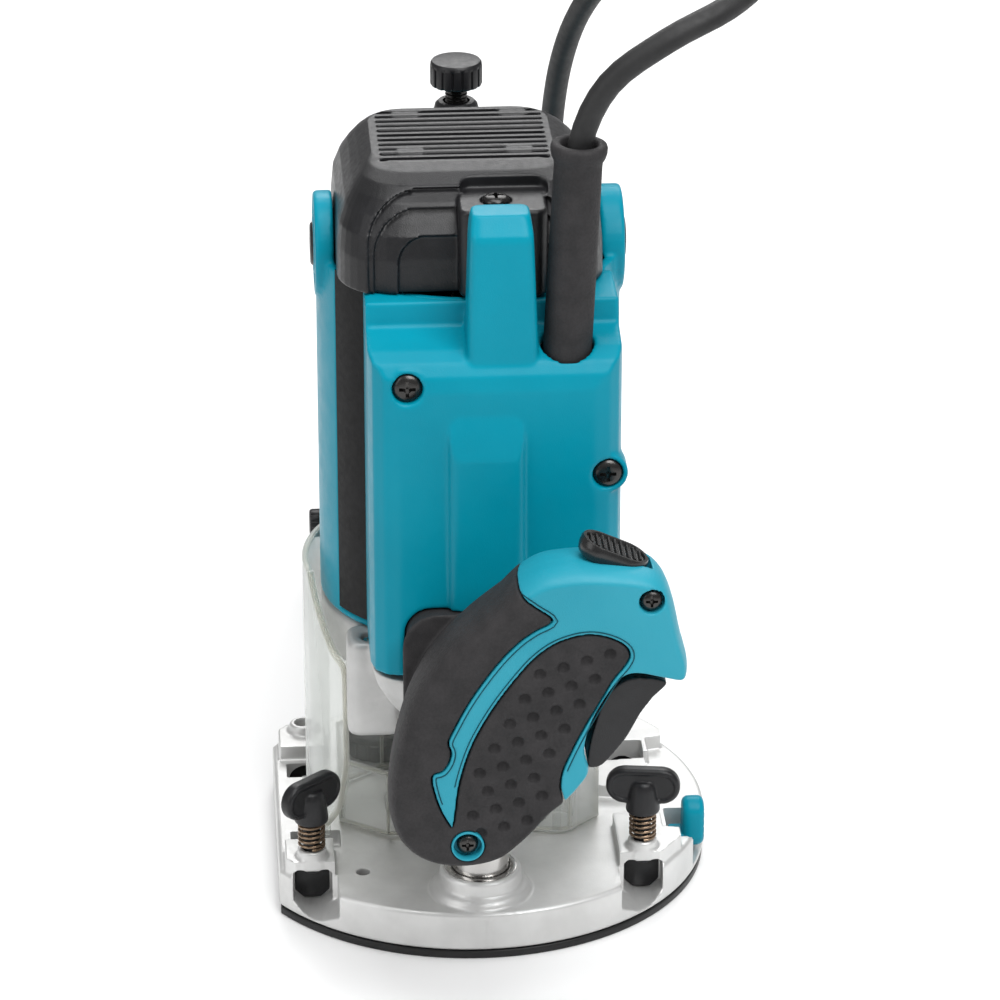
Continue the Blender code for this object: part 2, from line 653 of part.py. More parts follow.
def handle(side, name, neck_from, with_trigger):
    """Two half shells, the neck, the soft front grip and the dimpled panel of one handle."""
    def at(low, high):
        return sorted((side * low, side * high))

    outline = smooth_outline(GRIP_OUTLINE, 2)
    whole = prism(outline, *at(GRIP_IN, GRIP_OUT), "X", 7.0, 2)
    neck = loft([(side * neck_from, rounded(-23, 8, 110, 130, 8)), (side * 86, rounded(-24, 6, 112, 130, 8)),
                 (side * 112, rounded(-30, 12, 112, 148, 10))], "X")
    join(whole, neck)
    cut(whole, rod(14.0, 60, 160, (side * COLUMN_X, 0), steps=24))

    wrap = prism(FRONT_GRIP, *at(90, 160), "X")
    core = prism(inset(outline, 3.0), *at(GRIP_IN + 3.0, GRIP_OUT - 3.0), "X", 4.0, 1)
    root = prism(rounded(-26, 8, 116, 144, 8), *at(90, 130), "X")
    join(core, root)
    grip = prism(outline, *at(GRIP_IN, GRIP_OUT), "X", 7.0, 2)
    common(grip, prism(inset(FRONT_GRIP, GAP), *at(90, 160), "X"))
    cut(grip, prism(inset(outline, 2.7), *at(GRIP_IN + 2.7, GRIP_OUT - 2.7), "X", 4.0, 1),
        prism(rounded(-26.3, 8.3, 115.7, 144.3, 8), *at(90, 130), "X"))
    part("grip_front_" + name, grip, "soft")
    cut(wrap, core)
    cut(whole, wrap)

    panel_edge = smooth_outline(PANEL, 2)
    cut(whole, prism(panel_edge, *at(GRIP_OUT - 1.8, GRIP_OUT + 4), "X"))
    panel = prism(inset(panel_edge, GAP), *at(GRIP_OUT - 1.5, GRIP_OUT + 0.6), "X", 0.5, 1)
    cut(panel, rod(4.4, *at(GRIP_OUT - 5, GRIP_OUT + 5), HANDLE_SCREWS[1], "X", 16))
    part("grip_panel_" + name, panel, "soft")
    if with_trigger:
        pocket = prism(inset(smooth_outline(TRIGGER, 2), -1.2), *at(118, 137), "X")
        slack = box(at(118, 137), (14, 40), (95.4, 136))
        button_well = box(at(121, 134), (26.5, 49), (150, 190))
        cut(whole, pocket, slack, button_well, box(at(117, 138), (-8, 14.2), (112, 142)))
    for spot in HANDLE_SCREWS:
        cut(whole, rod(3.9, *at(GRIP_OUT - 5, GRIP_OUT + 5), spot, "X", 16))
        cut(whole, rod(2.2, *at(GRIP_OUT - 12, GRIP_OUT + 5), spot, "X", 12))
    return whole


def split_handle(whole, side, name):
    middle = 0.5 * (GRIP_IN + GRIP_OUT)
    copy = bpy.data.objects.new("copy", whole.data.copy())
    bpy.context.scene.collection.objects.link(copy)
    outer = common(whole, box(sorted((side * (middle + 0.15), side * 200)), (-100, 120), (20, 220)))
    inner = common(copy, box(sorted((side * 40, side * (middle - 0.15))), (-100, 120), (20, 220)))
    part("handle_outer_" + name, outer, "teal")
    part("handle_inner_" + name, inner, "teal")


def handle_controls():
    trigger = prism(smooth_outline(TRIGGER, 2), 119, 136, "X", 1.5, 1)
    part("trigger", trigger, "black", (127.5, 46, 135))
    body = box((118.2, 136.8), (-7.5, 13.6), (113, 141), 1.0)
    part("switch_body", body, "black")
    pad = loft([(-2.4, rounded(-10.5, 10.5, -6.4, 6.4, 6.2)), (2.4, rounded(-12, 12, -7.4, 7.4, 7.2)),
                (3.6, rounded(-11, 11, -6.4, 6.4, 6.2))])
    stem = loft([(-14, rounded(-6.5, 6.5, -4.5, 4.5, 2)), (0, rounded(-4.5, 8, -4.5, 4.5, 2))])
    join(pad, stem)
    place = (Matrix.Translation(Vector((127.5, 40.0 + SPINDLE_Y, 180.5)) * MM)
             @ Matrix.Rotation(math.radians(-22), 4, "X") @ Matrix.Rotation(math.radians(90), 4, "Z")
             @ Matrix.Translation(-Vector((0, SPINDLE_Y, 0)) * MM))
    pad.data.transform(place)
    part("lock_off_button", pad, "black", (127.5, 40, 172))


def left_controls():
    hub = rod(7.0, 19.4, 29, (-COLUMN_X, 132), "Y", 20, 0.8)
    arm = prism([(-COLUMN_X - 2, 127), (-COLUMN_X - 30, 140), (-COLUMN_X - 33, 146), (-COLUMN_X - 28, 150),
                 (-COLUMN_X, 139)], 22, 28, "Y", 1.2, 1)
    join(hub, arm)
    part("lock_lever", hub, "black", (-COLUMN_X, 24, 132))

    pole = lathe([(3.2, 86), (4.0, 87), (4.0, 196), (3.4, 197)], POLE, steps=16)
    part("stopper_pole", pole, "steel", (*POLE, 110))
    nut = lathe([(3.0, -44.2), (3.0, -50.6), (4.8, -50.6), (5.2, -51.4), (5.2, -54.6), (4.4, -55.6)],
                (POLE[0], 111), "Y", 18)
    part("pole_setting_nut", nut, "black", (POLE[0], -55, 111))
    button = rod(5.0, 41, 57, (0, 97), "Y", 18, 0.8)
    part("shaft_lock_button", button, "black", (0, 49, 97))


# ---------------------------------------------------------------- cord

def cord():
    curve = bpy.data.curves.new("cord_lead", "CURVE")
    curve.dimensions = "3D"
    curve.bevel_depth = CORD_R * MM
    curve.bevel_resolution = 2
    curve.use_fill_caps = True
    points = smooth_path(CORD_ROUTE, 2)
    spline = curve.splines.new("POLY")
    spline.points.add(len(points) - 1)
    for target, point in zip(spline.points, points):
        target.co = (*(Vector((point.x, point.y + SPINDLE_Y, point.z)) * MM), 1.0)
    lead = bpy.data.objects.new("cord_lead", curve)
    curve.materials.append(material("soft"))
    bpy.context.scene.collection.objects.link(lead)

    inner, outer = COIL_R - COIL_HALF, COIL_R + COIL_HALF
    ring = lathe([(inner, GAP), (outer - 2, GAP), (outer, GAP + 2), (outer, COIL_TOP - 2),
                  (outer - 2, COIL_TOP), (inner, COIL_TOP)], COIL, steps=28, ring=True)
    part("cord_coil", ring, "soft")

    plug = loft([(0, rounded(-7, 7, -6, 6, 5)), (12, rounded(-8, 8, -7, 7, 5)),
                 (20, rounded(-17, 17, -9, 9, 8)), (44, rounded(-18.5, 18.5, -9, 9, 8)),
                 (50, rounded(-17.5, 17.5, -8.4, 8.4, 8))])
    for side in (1, -1):
        join(plug, rod(2.4, 46, 69, (side * 9.5, 0), steps=10))
    home = Vector((0, SPINDLE_Y, 0)) * MM
    spot = Vector((PLUG_ENTRY[0], PLUG_ENTRY[1] + SPINDLE_Y, COIL_TOP + GAP + 9.0)) * MM
    plug.data.transform(Matrix.Translation(spot) @ Matrix.Rotation(math.radians(PLUG_TURN), 4, "Z")
                        @ Matrix.Rotation(math.radians(90), 4, "Y")
                        @ Matrix.Rotation(math.radians(90), 4, "Z") @ Matrix.Translation(-home))
    part("plug", plug, "black")


# ---------------------------------------------------------------- everything

clear_scene()
base_casting()
sole()
columns()
limit_stop()
shields()
plunge_springs()
clamp_bolts()
stop_turret()
lock_plate_lever()
bracket()
housing()
top_cap()
right_cover()
cord_guard()
motor_internals()
split_handle(handle(1, "right", 66.0, True), 1, "right")
split_handle(handle(-1, "left", 83.4, False), -1, "left")
handle_controls()
left_controls()
for place_name, spot_yz in zip(("front", "rear"), COVER_SCREWS):
    screw_head("cover_screw_" + place_name, spot_yz, 78.6, "X", 5.0, 9.0)
for place_name, spot_yz in zip(("upper", "lower"), HANDLE_SCREWS):
    screw_head("handle_screw_" + place_name, spot_yz, GRIP_OUT - 0.6, "X", 3.6, 9.0)
screw_head("cap_screw", CAP_SCREW, 271.4, "Z", 4.6, 8.0)
cord()
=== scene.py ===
"""Looks of a plunge router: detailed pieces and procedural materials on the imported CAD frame.

Lengths in the builders are millimetres from the spindle axis at the underside of the sole, as in
the part's own source; blank() turns them into metres in the shared frame.
"""

import math

import bmesh
import bpy
from mathutils import Matrix, Vector


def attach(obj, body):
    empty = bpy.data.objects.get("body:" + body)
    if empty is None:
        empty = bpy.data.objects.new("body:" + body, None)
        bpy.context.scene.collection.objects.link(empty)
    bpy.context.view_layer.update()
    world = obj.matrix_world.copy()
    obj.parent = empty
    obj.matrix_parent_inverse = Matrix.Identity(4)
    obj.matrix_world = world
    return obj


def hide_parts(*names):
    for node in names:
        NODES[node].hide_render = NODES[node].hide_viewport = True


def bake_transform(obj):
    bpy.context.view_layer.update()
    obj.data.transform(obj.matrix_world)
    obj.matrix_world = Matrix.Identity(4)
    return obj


MM = 0.001
SPINDLE_Y = -7.5
ORIGIN = (0, 0, 0)
SIDES = ((1, "right"), (-1, "left"))
ENDS = ((-1, "front"), (1, "rear"))

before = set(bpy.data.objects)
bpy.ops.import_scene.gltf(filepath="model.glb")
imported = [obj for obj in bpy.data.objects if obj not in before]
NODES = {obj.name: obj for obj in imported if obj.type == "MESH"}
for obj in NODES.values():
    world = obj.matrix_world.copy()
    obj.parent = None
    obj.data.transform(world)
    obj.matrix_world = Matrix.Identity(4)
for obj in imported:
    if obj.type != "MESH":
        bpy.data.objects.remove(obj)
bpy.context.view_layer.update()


# ---------------------------------------------------------------- materials

# Name, metal share, specular level, darkest and lightest tone, least and greatest roughness,
# grain as (cycles per metre, strength, depth in metres), and colour patches per metre.
FINISHES = {
    "cast": ("cast_alloy", 0.55, 0.5, (0.60, 0.60, 0.592), (0.68, 0.68, 0.672),
             (0.36, 0.48), (1500, 0.14, 0.0003), 60),
    "bracket": ("cast_bracket", 0.5, 0.5, (0.43, 0.43, 0.424), (0.50, 0.50, 0.493),
                (0.42, 0.52), (1400, 0.25, 0.0003), 60),
    "steel": ("ground_steel", 1.0, 0.5, (0.52, 0.505, 0.49), (0.60, 0.59, 0.575),
              (0.16, 0.26), (2600, 0.05, 0.0002), 60),
    "dark_steel": ("black_steel", 0.9, 0.5, (0.035, 0.034, 0.034), (0.06, 0.058, 0.056),
                   (0.20, 0.32), (2400, 0.1, 0.0002), 60),
    "spring": ("spring_wire", 1.0, 0.5, (0.17, 0.12, 0.08), (0.28, 0.20, 0.14),
               (0.22, 0.34), (2400, 0.05, 0.0002), 60),
    "teal": ("teal_nylon", 0.0, 0.14, (0.0, 0.225, 0.315), (0.0006, 0.245, 0.340),
             (0.30, 0.40), (2200, 0.25, 0.0002), 25),
    "teal_grip": ("teal_handle", 0.0, 0.35, (0.010, 0.255, 0.345), (0.016, 0.280, 0.375),
                  (0.42, 0.52), (2200, 0.3, 0.0002), 25),
    # Darkened teal for the lines along the handle shell's rims: painted shade of the groove.
    "teal_shadow": ("teal_groove_shade", 0.0, 0.2, (0.0, 0.040, 0.055), (0.0, 0.055, 0.075),
                    (0.55, 0.65), (2200, 0.2, 0.0002), 25),
    "black": ("black_nylon", 0.0, 0.35, (0.008, 0.008, 0.009), (0.012, 0.012, 0.0135),
              (0.30, 0.42), (2400, 0.4, 0.0002), 60),
    "band": ("dark_band", 0.0, 0.15, (0.004, 0.004, 0.0044), (0.006, 0.006, 0.0066),
             (0.45, 0.56), (2200, 0.3, 0.0002), 60),
    "gloss": ("gloss_black", 0.0, 0.5, (0.009, 0.009, 0.009), (0.013, 0.013, 0.013),
              (0.20, 0.30), (1800, 0.1, 0.0002), 60),
    "soft": ("soft_rubber", 0.0, 0.3, (0.018, 0.0172, 0.0182), (0.026, 0.0245, 0.0258),
             (0.62, 0.8), (1700, 0.6, 0.00025), 140),
    "cord": ("cord_rubber", 0.0, 0.35, (0.012, 0.012, 0.0125), (0.020, 0.020, 0.0205),
             (0.5, 0.62), (1700, 0.25, 0.0002), 60),
    "sole": ("phenolic_sole", 0.0, 0.35, (0.008, 0.008, 0.0085), (0.014, 0.014, 0.0145),
             (0.34, 0.46), (1800, 0.2, 0.0002), 60),
    "copper": ("wound_copper", 0.9, 0.5, (0.40, 0.18, 0.09), (0.55, 0.28, 0.15),
               (0.32, 0.48), (900, 0.5, 0.0006), 60),
    "carbon": ("pressed_carbon", 0.1, 0.5, (0.022, 0.022, 0.022), (0.045, 0.045, 0.045),
               (0.5, 0.7), (1500, 0.4, 0.0003), 60),
}
PAPER = ("paper_floor", 0.0, 0.5, (0.925, 0.925, 0.925), (0.94, 0.94, 0.94),
         (0.8, 0.9), (400, 0.02, 0.0002), 4)
# Name, tint of what shows through, and share of the surface that veils it.
CLEARS = {
    "clear": ("clear_guard", (0.93, 0.94, 0.925), 0.05),
    "clear_edge": ("clear_guard_edge", (0.80, 0.785, 0.72), 0.20),
    "clear_dull": ("clear_dust_cover", (0.90, 0.905, 0.895), 0.09),
}
TONE_SPAN = (0.35, 0.65)
ROUGHNESS_DETAIL = 7.3      # patches of roughness to each patch of colour


def settings(target, **values):
    """Sets inputs given by keyword, with _ for a space."""
    for key, value in values.items():
        target.inputs[key.replace("_", " ")].default_value = value
    return target


def new_material(name):
    made = bpy.data.materials.new(name)
    made.use_nodes = True
    return made, made.node_tree.nodes["Principled BSDF"]


def new_node(made, kind, **values):
    return settings(made.node_tree.nodes.new("ShaderNode" + kind), **values)


def link(made, source, out, target, into):
    made.node_tree.links.new(source.outputs[out], target.inputs[into])


def noise(made, scale, detail=3.0):
    """A noise texture in object coordinates; scale is cycles per metre."""
    texture = new_node(made, "TexNoise", Scale=scale, Detail=detail)
    link(made, new_node(made, "TexCoord"), "Object", texture, "Vector")
    return texture


def grained(made, shader, scale, detail, strength, depth):
    """Gives a shader a fine relief."""
    bump = new_node(made, "Bump", Strength=strength, Distance=depth)
    link(made, noise(made, scale, detail), "Fac", bump, "Height")
    link(made, bump, "Normal", shader, "Normal")


def finish(name, metal, specular, dark, light, rough, grain, patches):
    """A material with patchy colour, patchy roughness and a fine grain."""
    made, shader = new_material(name)
    settings(shader, Metallic=metal, Specular_IOR_Level=specular)
    tones = new_node(made, "ValToRGB")
    for element, position, tone in zip(tones.color_ramp.elements, TONE_SPAN, (dark, light)):
        element.position = position
        element.color = (*tone, 1.0)
    spread = new_node(made, "MapRange", From_Min=0.3, From_Max=0.7, To_Min=rough[0], To_Max=rough[1])
    link(made, noise(made, patches), "Fac", tones, "Fac")
    link(made, tones, "Color", shader, "Base Color")
    link(made, noise(made, patches * ROUGHNESS_DETAIL), "Fac", spread, "Value")
    link(made, spread, "Result", shader, "Roughness")
    grained(made, shader, grain[0], 2.0, grain[1], grain[2])
    return made


def clear_plastic(name, tint, veil):
    """Thin clear plastic: see-through, with a faint veil and stronger reflections at the edges."""
    made, shader = new_material(name)
    settings(shader, Base_Color=(0.86, 0.88, 0.87, 1.0), Roughness=0.06, IOR=1.58)
    clear = new_node(made, "BsdfTransparent", Color=(*tint, 1.0))
    facing = new_node(made, "LayerWeight", Blend=0.28)
    strength = new_node(made, "MapRange", To_Min=veil, To_Max=0.75)
    mixed = new_node(made, "MixShader")
    link(made, facing, "Facing", strength, "Value")
    link(made, strength, "Result", mixed, "Fac")
    link(made, clear, "BSDF", mixed, 1)
    link(made, shader, "BSDF", mixed, 2)
    link(made, mixed, "Shader", made.node_tree.nodes["Material Output"], "Surface")
    grained(made, shader, 220, 1.0, 0.08, 0.0003)
    return made


LOOKS = {look: finish(*values) for look, values in FINISHES.items()}
LOOKS.update({look: clear_plastic(*values) for look, values in CLEARS.items()})


# ---------------------------------------------------------------- mesh builders

def new_object(bm, name="blank"):
    """An object of the scene from a finished bmesh."""
    mesh = bpy.data.meshes.new(name)
    bm.to_mesh(mesh)
    bm.free()
    obj = bpy.data.objects.new(name, mesh)
    bpy.context.scene.collection.objects.link(obj)
    return obj


def blank(bm):
    """An object from a bmesh in millimetres, with its faces turned outwards."""
    bmesh.ops.remove_doubles(bm, verts=bm.verts, dist=0.0005)
    bmesh.ops.recalc_face_normals(bm, faces=bm.faces)
    if bm.calc_volume(signed=True) < 0:
        bmesh.ops.reverse_faces(bm, faces=bm.faces)
    for vert in bm.verts:
        vert.co = Vector((vert.co.x, vert.co.y + SPINDLE_Y, vert.co.z)) * MM
    return new_object(bm)


def in_metres(point):
    return (point[0] * MM, (point[1] + SPINDLE_Y) * MM, point[2] * MM)


def modified(obj, kind, **values):
    """Applies one modifier."""
    modifier = obj.modifiers.new("step", kind)
    for key, value in values.items():
        setattr(modifier, key, value)
    graph = bpy.context.evaluated_depsgraph_get()
    result = bpy.data.meshes.new_from_object(obj.evaluated_get(graph))
    obj.modifiers.clear()
    obj.data = result
    return obj


def combine(obj, others, operation):
    """Applies one Boolean after another and removes the tools."""
    for other in others:
        modified(obj, "BOOLEAN", operation=operation, solver="EXACT", object=other)
        bpy.data.objects.remove(other)
    return obj


def cut(obj, *others):
    return combine(obj, others, "DIFFERENCE")


def join(obj, *others):
    return combine(obj, others, "UNION")


def common(obj, *others):
    return combine(obj, others, "INTERSECT")


def softened(obj, width, segments=2, angle=32):
    """Rounds every edge sharper than the angle; width in millimetres."""
    return modified(obj, "BEVEL", width=width * MM, segments=segments, limit_method="ANGLE",
                    angle_limit=math.radians(angle), miter_outer="MITER_ARC", use_clamp_overlap=True)


def melted(obj, voxel, rounds, keep):
    """Remeshes a solid evenly and relaxes it, which fillets its edges, then keeps a share of its faces."""
    modified(obj, "REMESH", mode="VOXEL", voxel_size=voxel * MM)
    modified(obj, "SMOOTH", factor=0.5, iterations=rounds)
    return modified(obj, "DECIMATE", ratio=keep)


def piece(name, obj, look, body, *stands_for, sharp=30, slot=None):
    """Names a finished blank, paints it and puts it on its body in place of CAD nodes."""
    obj.name = name
    obj.data.name = name
    obj.data.materials.clear()
    obj.data.materials.append(LOOKS[look])
    obj.data.shade_smooth()
    obj.data.set_sharp_from_angle(angle=math.radians(sharp))
    if body:
        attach(obj, body)
    if stands_for:
        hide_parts(*stands_for)
    return obj


def stand_in(node, obj, look, body, **kept):
    """The detailed piece that takes the place of one CAD node."""
    return piece(node + "_look", obj, look, body, node, **kept)


def placed(point, axis, level):
    """A point of a plane and a height along the axis, as x, y, z."""
    u, v = point
    return {"X": (level, u, v), "Y": (u, level, v), "Z": (u, v, level)}[axis]


def skin(bm, rings, ring=False):
    """A blank through rings of vertices, with flat ends or, for a ring, closed on itself."""
    for low, high in zip(rings, rings[1:] + (rings[:1] if ring else [])):
        for i in range(len(low)):
            j = (i + 1) % len(low)
            bm.faces.new((low[i], low[j], high[j], high[i]))
    if not ring:
        bm.faces.new(rings[0])
        bm.faces.new(rings[-1])
    return blank(bm)


def loft(layers, axis="Z", ring=False):
    """A closed solid through outlines with the same number of points, given as (level, points).

    Flat ends close it; a ring closes on itself instead."""
    bm = bmesh.new()
    rings = []
    for level, points in layers:
        rings.append([bm.verts.new(placed(p, axis, level)) for p in points])
    return skin(bm, rings, ring)


def inset(points, by):
    """An outline moved inwards, corner by corner; by < 0 moves it outwards."""
    following = points[1:] + points[:1]
    area = sum(a[0] * b[1] - b[0] * a[1] for a, b in zip(points, following))
    turn = 1.0 if area > 0 else -1.0
    moved_points = []
    for i, (point, after) in enumerate(zip(points, following)):
        coming = Vector(point) - Vector(points[i - 1])
        going = Vector(after) - Vector(point)
        first = Vector((-coming.y, coming.x)).normalized() * turn
        second = Vector((-going.y, going.x)).normalized() * turn
        middle = (first + second).normalized()
        moved_points.append(tuple(Vector(point) + middle * (by / max(0.4, middle.dot(first)))))
    return moved_points


def prism(points, low, high, axis="Z", rounding=0.0, steps=4):
    """An outline swept from low to high, with its two rims rounded over."""
    if not rounding:
        return loft([(low, points), (high, points)], axis)
    rim = []
    for i in range(steps + 1):
        angle = 0.5 * math.pi * i / steps
        rim.append((rounding * (1 - math.sin(angle)), inset(points, rounding * (1 - math.cos(angle)))))
    foot = [(low + drop, outline) for drop, outline in reversed(rim)]
    return loft(foot + [(high - drop, outline) for drop, outline in rim], axis)


def rounded(a0, a1, b0, b1, radius, steps=6):
    """A rectangle outline with round corners."""
    points = []
    for cx, cy, start in ((a1 - radius, b0 + radius, -90), (a1 - radius, b1 - radius, 0),
                          (a0 + radius, b1 - radius, 90), (a0 + radius, b0 + radius, 180)):
        points += arc(radius, start, start + 90, steps, (cx, cy))
    return points


def stack(rows, axis="Z"):
    """A solid through round-cornered rectangles, given as (level, four sides, corner radius)."""
    return loft([(level, rounded(*shape)) for level, *shape in rows], axis)


def box(x, y, z, rounding=0.0):
    """A block from three (low, high) pairs; rounding rounds its upright edges and its rims."""
    if not rounding:
        return prism([(x[0], y[0]), (x[1], y[0]), (x[1], y[1]), (x[0], y[1])], *z)
    return prism(rounded(*x, *y, rounding), *z, "Z", rounding * 0.45)


def curve_point(p0, p1, p2, p3, t):
    """The point at a share t of the smooth curve from p1 to p2."""
    return 0.5 * (2 * p1 + (p2 - p0) * t + (2 * p0 - 5 * p1 + 4 * p2 - p3) * t * t
                  + (3 * p1 - p0 - 3 * p2 + p3) * t ** 3)


def smooth_outline(points, steps=6):
    """A closed outline through the points, with steps pieces between each two."""
    count = len(points)
    made = []
    for i in range(count):
        near = [Vector(points[(i + k - 1) % count]) for k in range(4)]
        made += [tuple(curve_point(*near, s / steps)) for s in range(steps)]
    return made


def smooth_path(points, steps):
    """An open line through the points, with steps pieces between each two."""
    count = len(points)
    made = []
    for i in range(count - 1):
        near = [Vector(points[min(max(i + k - 1, 0), count - 1)]) for k in range(4)]
        made += [curve_point(*near, s / steps) for s in range(steps)]
    return made + [Vector(points[-1])]


def arc(radius, start, end, steps, centre=(0.0, 0.0)):
    """Points on a circle from one angle to another, in degrees."""
    points = []
    for i in range(steps + 1):
        angle = math.radians(start + (end - start) * i / steps)
        points.append((centre[0] + radius * math.cos(angle), centre[1] + radius * math.sin(angle)))
    return points


def around(centre, radius, angles):
    """The points of a circle at some angles, in degrees."""
    return [arc(radius, angle, angle, 1, centre)[0] for angle in angles]


def lathe(profile, centre=(0.0, 0.0), axis="Z", steps=48, ring=False):
    """Turns (radius, height) points round the axis, closed by flat ends or, for a ring, on itself."""
    layers = [(height, arc(radius, 0, 360 - 360 / steps, steps - 1, centre)) for radius, height in profile]
    return loft(layers, axis, ring)


def rod(radius, low, high, centre=(0.0, 0.0), axis="Z", steps=40):
    return lathe([(radius, low), (radius, high)], centre, axis, steps)


def tube(outer, inner, low, high, centre=(0.0, 0.0), axis="Z", steps=48):
    return lathe([(outer, low), (outer, high), (inner, high), (inner, low)], centre, axis, steps, True)


def swept(path, radius, sides=8):
    """A round wire along a list of points, with flat ends."""
    bm = bmesh.new()
    points = [Vector(p) for p in path]
    side = (points[1] - points[0]).normalized().orthogonal().normalized()
    rings = []
    for i, point in enumerate(points):
        ahead = (points[min(i + 1, len(points) - 1)] - points[max(i - 1, 0)]).normalized()
        side = (side - ahead * side.dot(ahead)).normalized()
        other = ahead.cross(side)
        ring = []
        for k in range(sides):
            angle = 2 * math.pi * k / sides
            out = side * radius * math.cos(angle) + other * radius * math.sin(angle)
            ring.append(bm.verts.new(point + out))
        rings.append(ring)
    return skin(bm, rings)


def helix(centre, radius, low, high, turns, per_turn=24):
    """Points of a coil spring whose first and last turns lie flat."""
    count = int(turns * per_turn)
    points = []
    for i in range(count + 1):
        angle = 2 * math.pi * i / per_turn
        rise = min(max((i - per_turn) / (count - 2 * per_turn), 0.0), 1.0)
        flat = 1.3 * min(i, per_turn) / per_turn + 1.3 * max(0, i - count + per_turn) / per_turn
        points.append((centre[0] + radius * math.cos(angle), centre[1] + radius * math.sin(angle),
                       low + (high - low - 2.6) * rise + flat))
    return points


def mirrored(points):
    return [(-x, y) for x, y in points]


def moved(obj, origin, spot, *turns):
    """Turns a blank about its origin by (degrees, axis), last turn first, and takes that point to a spot."""
    place = Matrix.Translation(in_metres(spot))
    for degrees, axis in turns:
        place = place @ Matrix.Rotation(math.radians(degrees), 4, axis)
    obj.data.transform(place @ Matrix.Translation(-Vector(in_metres(origin))))
    return obj


def merged(objects):
    """Several blanks that don't touch as one."""
    bm = bmesh.new()
    for obj in objects:
        bm.from_mesh(obj.data)
        bpy.data.objects.remove(obj)
    return new_object(bm)


def flipped(obj):
    """Mirrors a blank to the other side of the machine."""
    obj.data.transform(Matrix.Scale(-1, 4, (1, 0, 0)))
    obj.data.flip_normals()
    return obj


# ---------------------------------------------------------------- CAD nodes that keep their shape

KEPT = {
    "steel": ("armature", "bearing_lower", "bearing_upper"),
    "copper": ("stator", "commutator"),
    "carbon": ("carbon_brush_front", "carbon_brush_rear"),
    "black": ("switch_body", "cooling_fan"),
}


def paint_kept():
    for look, names in KEPT.items():
        for name in names:
            NODES[name].data.materials.clear()
            NODES[name].data.materials.append(LOOKS[look])


# ---------------------------------------------------------------- base

BASE_R = 85.7
BASE_FLAT = 70.7
SOLE_TOP = 3.0
CAST_LOW = 3.3
BASE_TOP = 18.0
BLOCK_TOP = 23.6
RAIL_Y = 59.0
RAIL_Z = 10.8
WING_X = 49.0
COLUMN_X = 66.0
COLUMN_R = 10.0
COLUMN_TOP = 174.0
SPRING_LOW, SPRING_HIGH = 8.2, 220.0
HOUSING_R = 53.0
SEAM_Z = 238.0
BRUSH = (0, SEAM_Z)
TURRET = (-44.0, -31.0)
POLE = (-44.0, -39.6)
POLE_NUT = (POLE[0], 111)
SHAFT_LOCK = (0, 97)
BRACKET_SCREW = (43, -37)
CORNERS = [(side, end) for side in (1, -1) for end in (1, -1)]
# Side views of the rail channels: their mouths, the pockets beside them and the black blocks set deep in them
# as painted shade.
RAIL_MOUTH = (
    (-7, 8.6), (-7, 18.8), (-5.4, 20.4), (-3.6, 20.4), (-2.4, 19.8), (2.4, 19.8), (3.6, 20.4), (5.4, 20.4),
    (7, 18.8), (7, 8.6), (3.0, 5.4), (-3.0, 5.4),
)
RAIL_POCKET = ((-9, 40), (-9, 9.2), (-1.6, 4.9), (1.6, 4.9), (9, 9.2), (9, 40))
RAIL_SHADE_BLOCK = ((-6.2, 8.6), (-6.2, 16.6), (6.2, 16.6), (6.2, 8.6), (3.2, 5.6), (-3.2, 5.6))
# Open pockets in the top of the base: x, y and the height of the floor.
BASE_POCKETS = (
    ((-33, -22), (-66, -54), 4.8), ((20, 33), (-66, -48), 12), ((-33, -22), (53, 66), 4.8),
    ((11, 33), (70, 95), 6),
)


def base_outline(margin=0.0, steps=120):
    radius = BASE_R - margin
    edge = BASE_FLAT - margin
    start = -math.degrees(math.asin(edge / radius))
    return arc(radius, start, 180 - start, steps)


def rail_part(profile, side, end, near, far):
    """A profile run sideways through one of the four corners, centred on its rail channel."""
    outline = [(end * RAIL_Y + u, v) for u, v in profile]
    return prism(outline, *sorted((side * near, side * far)), "X")


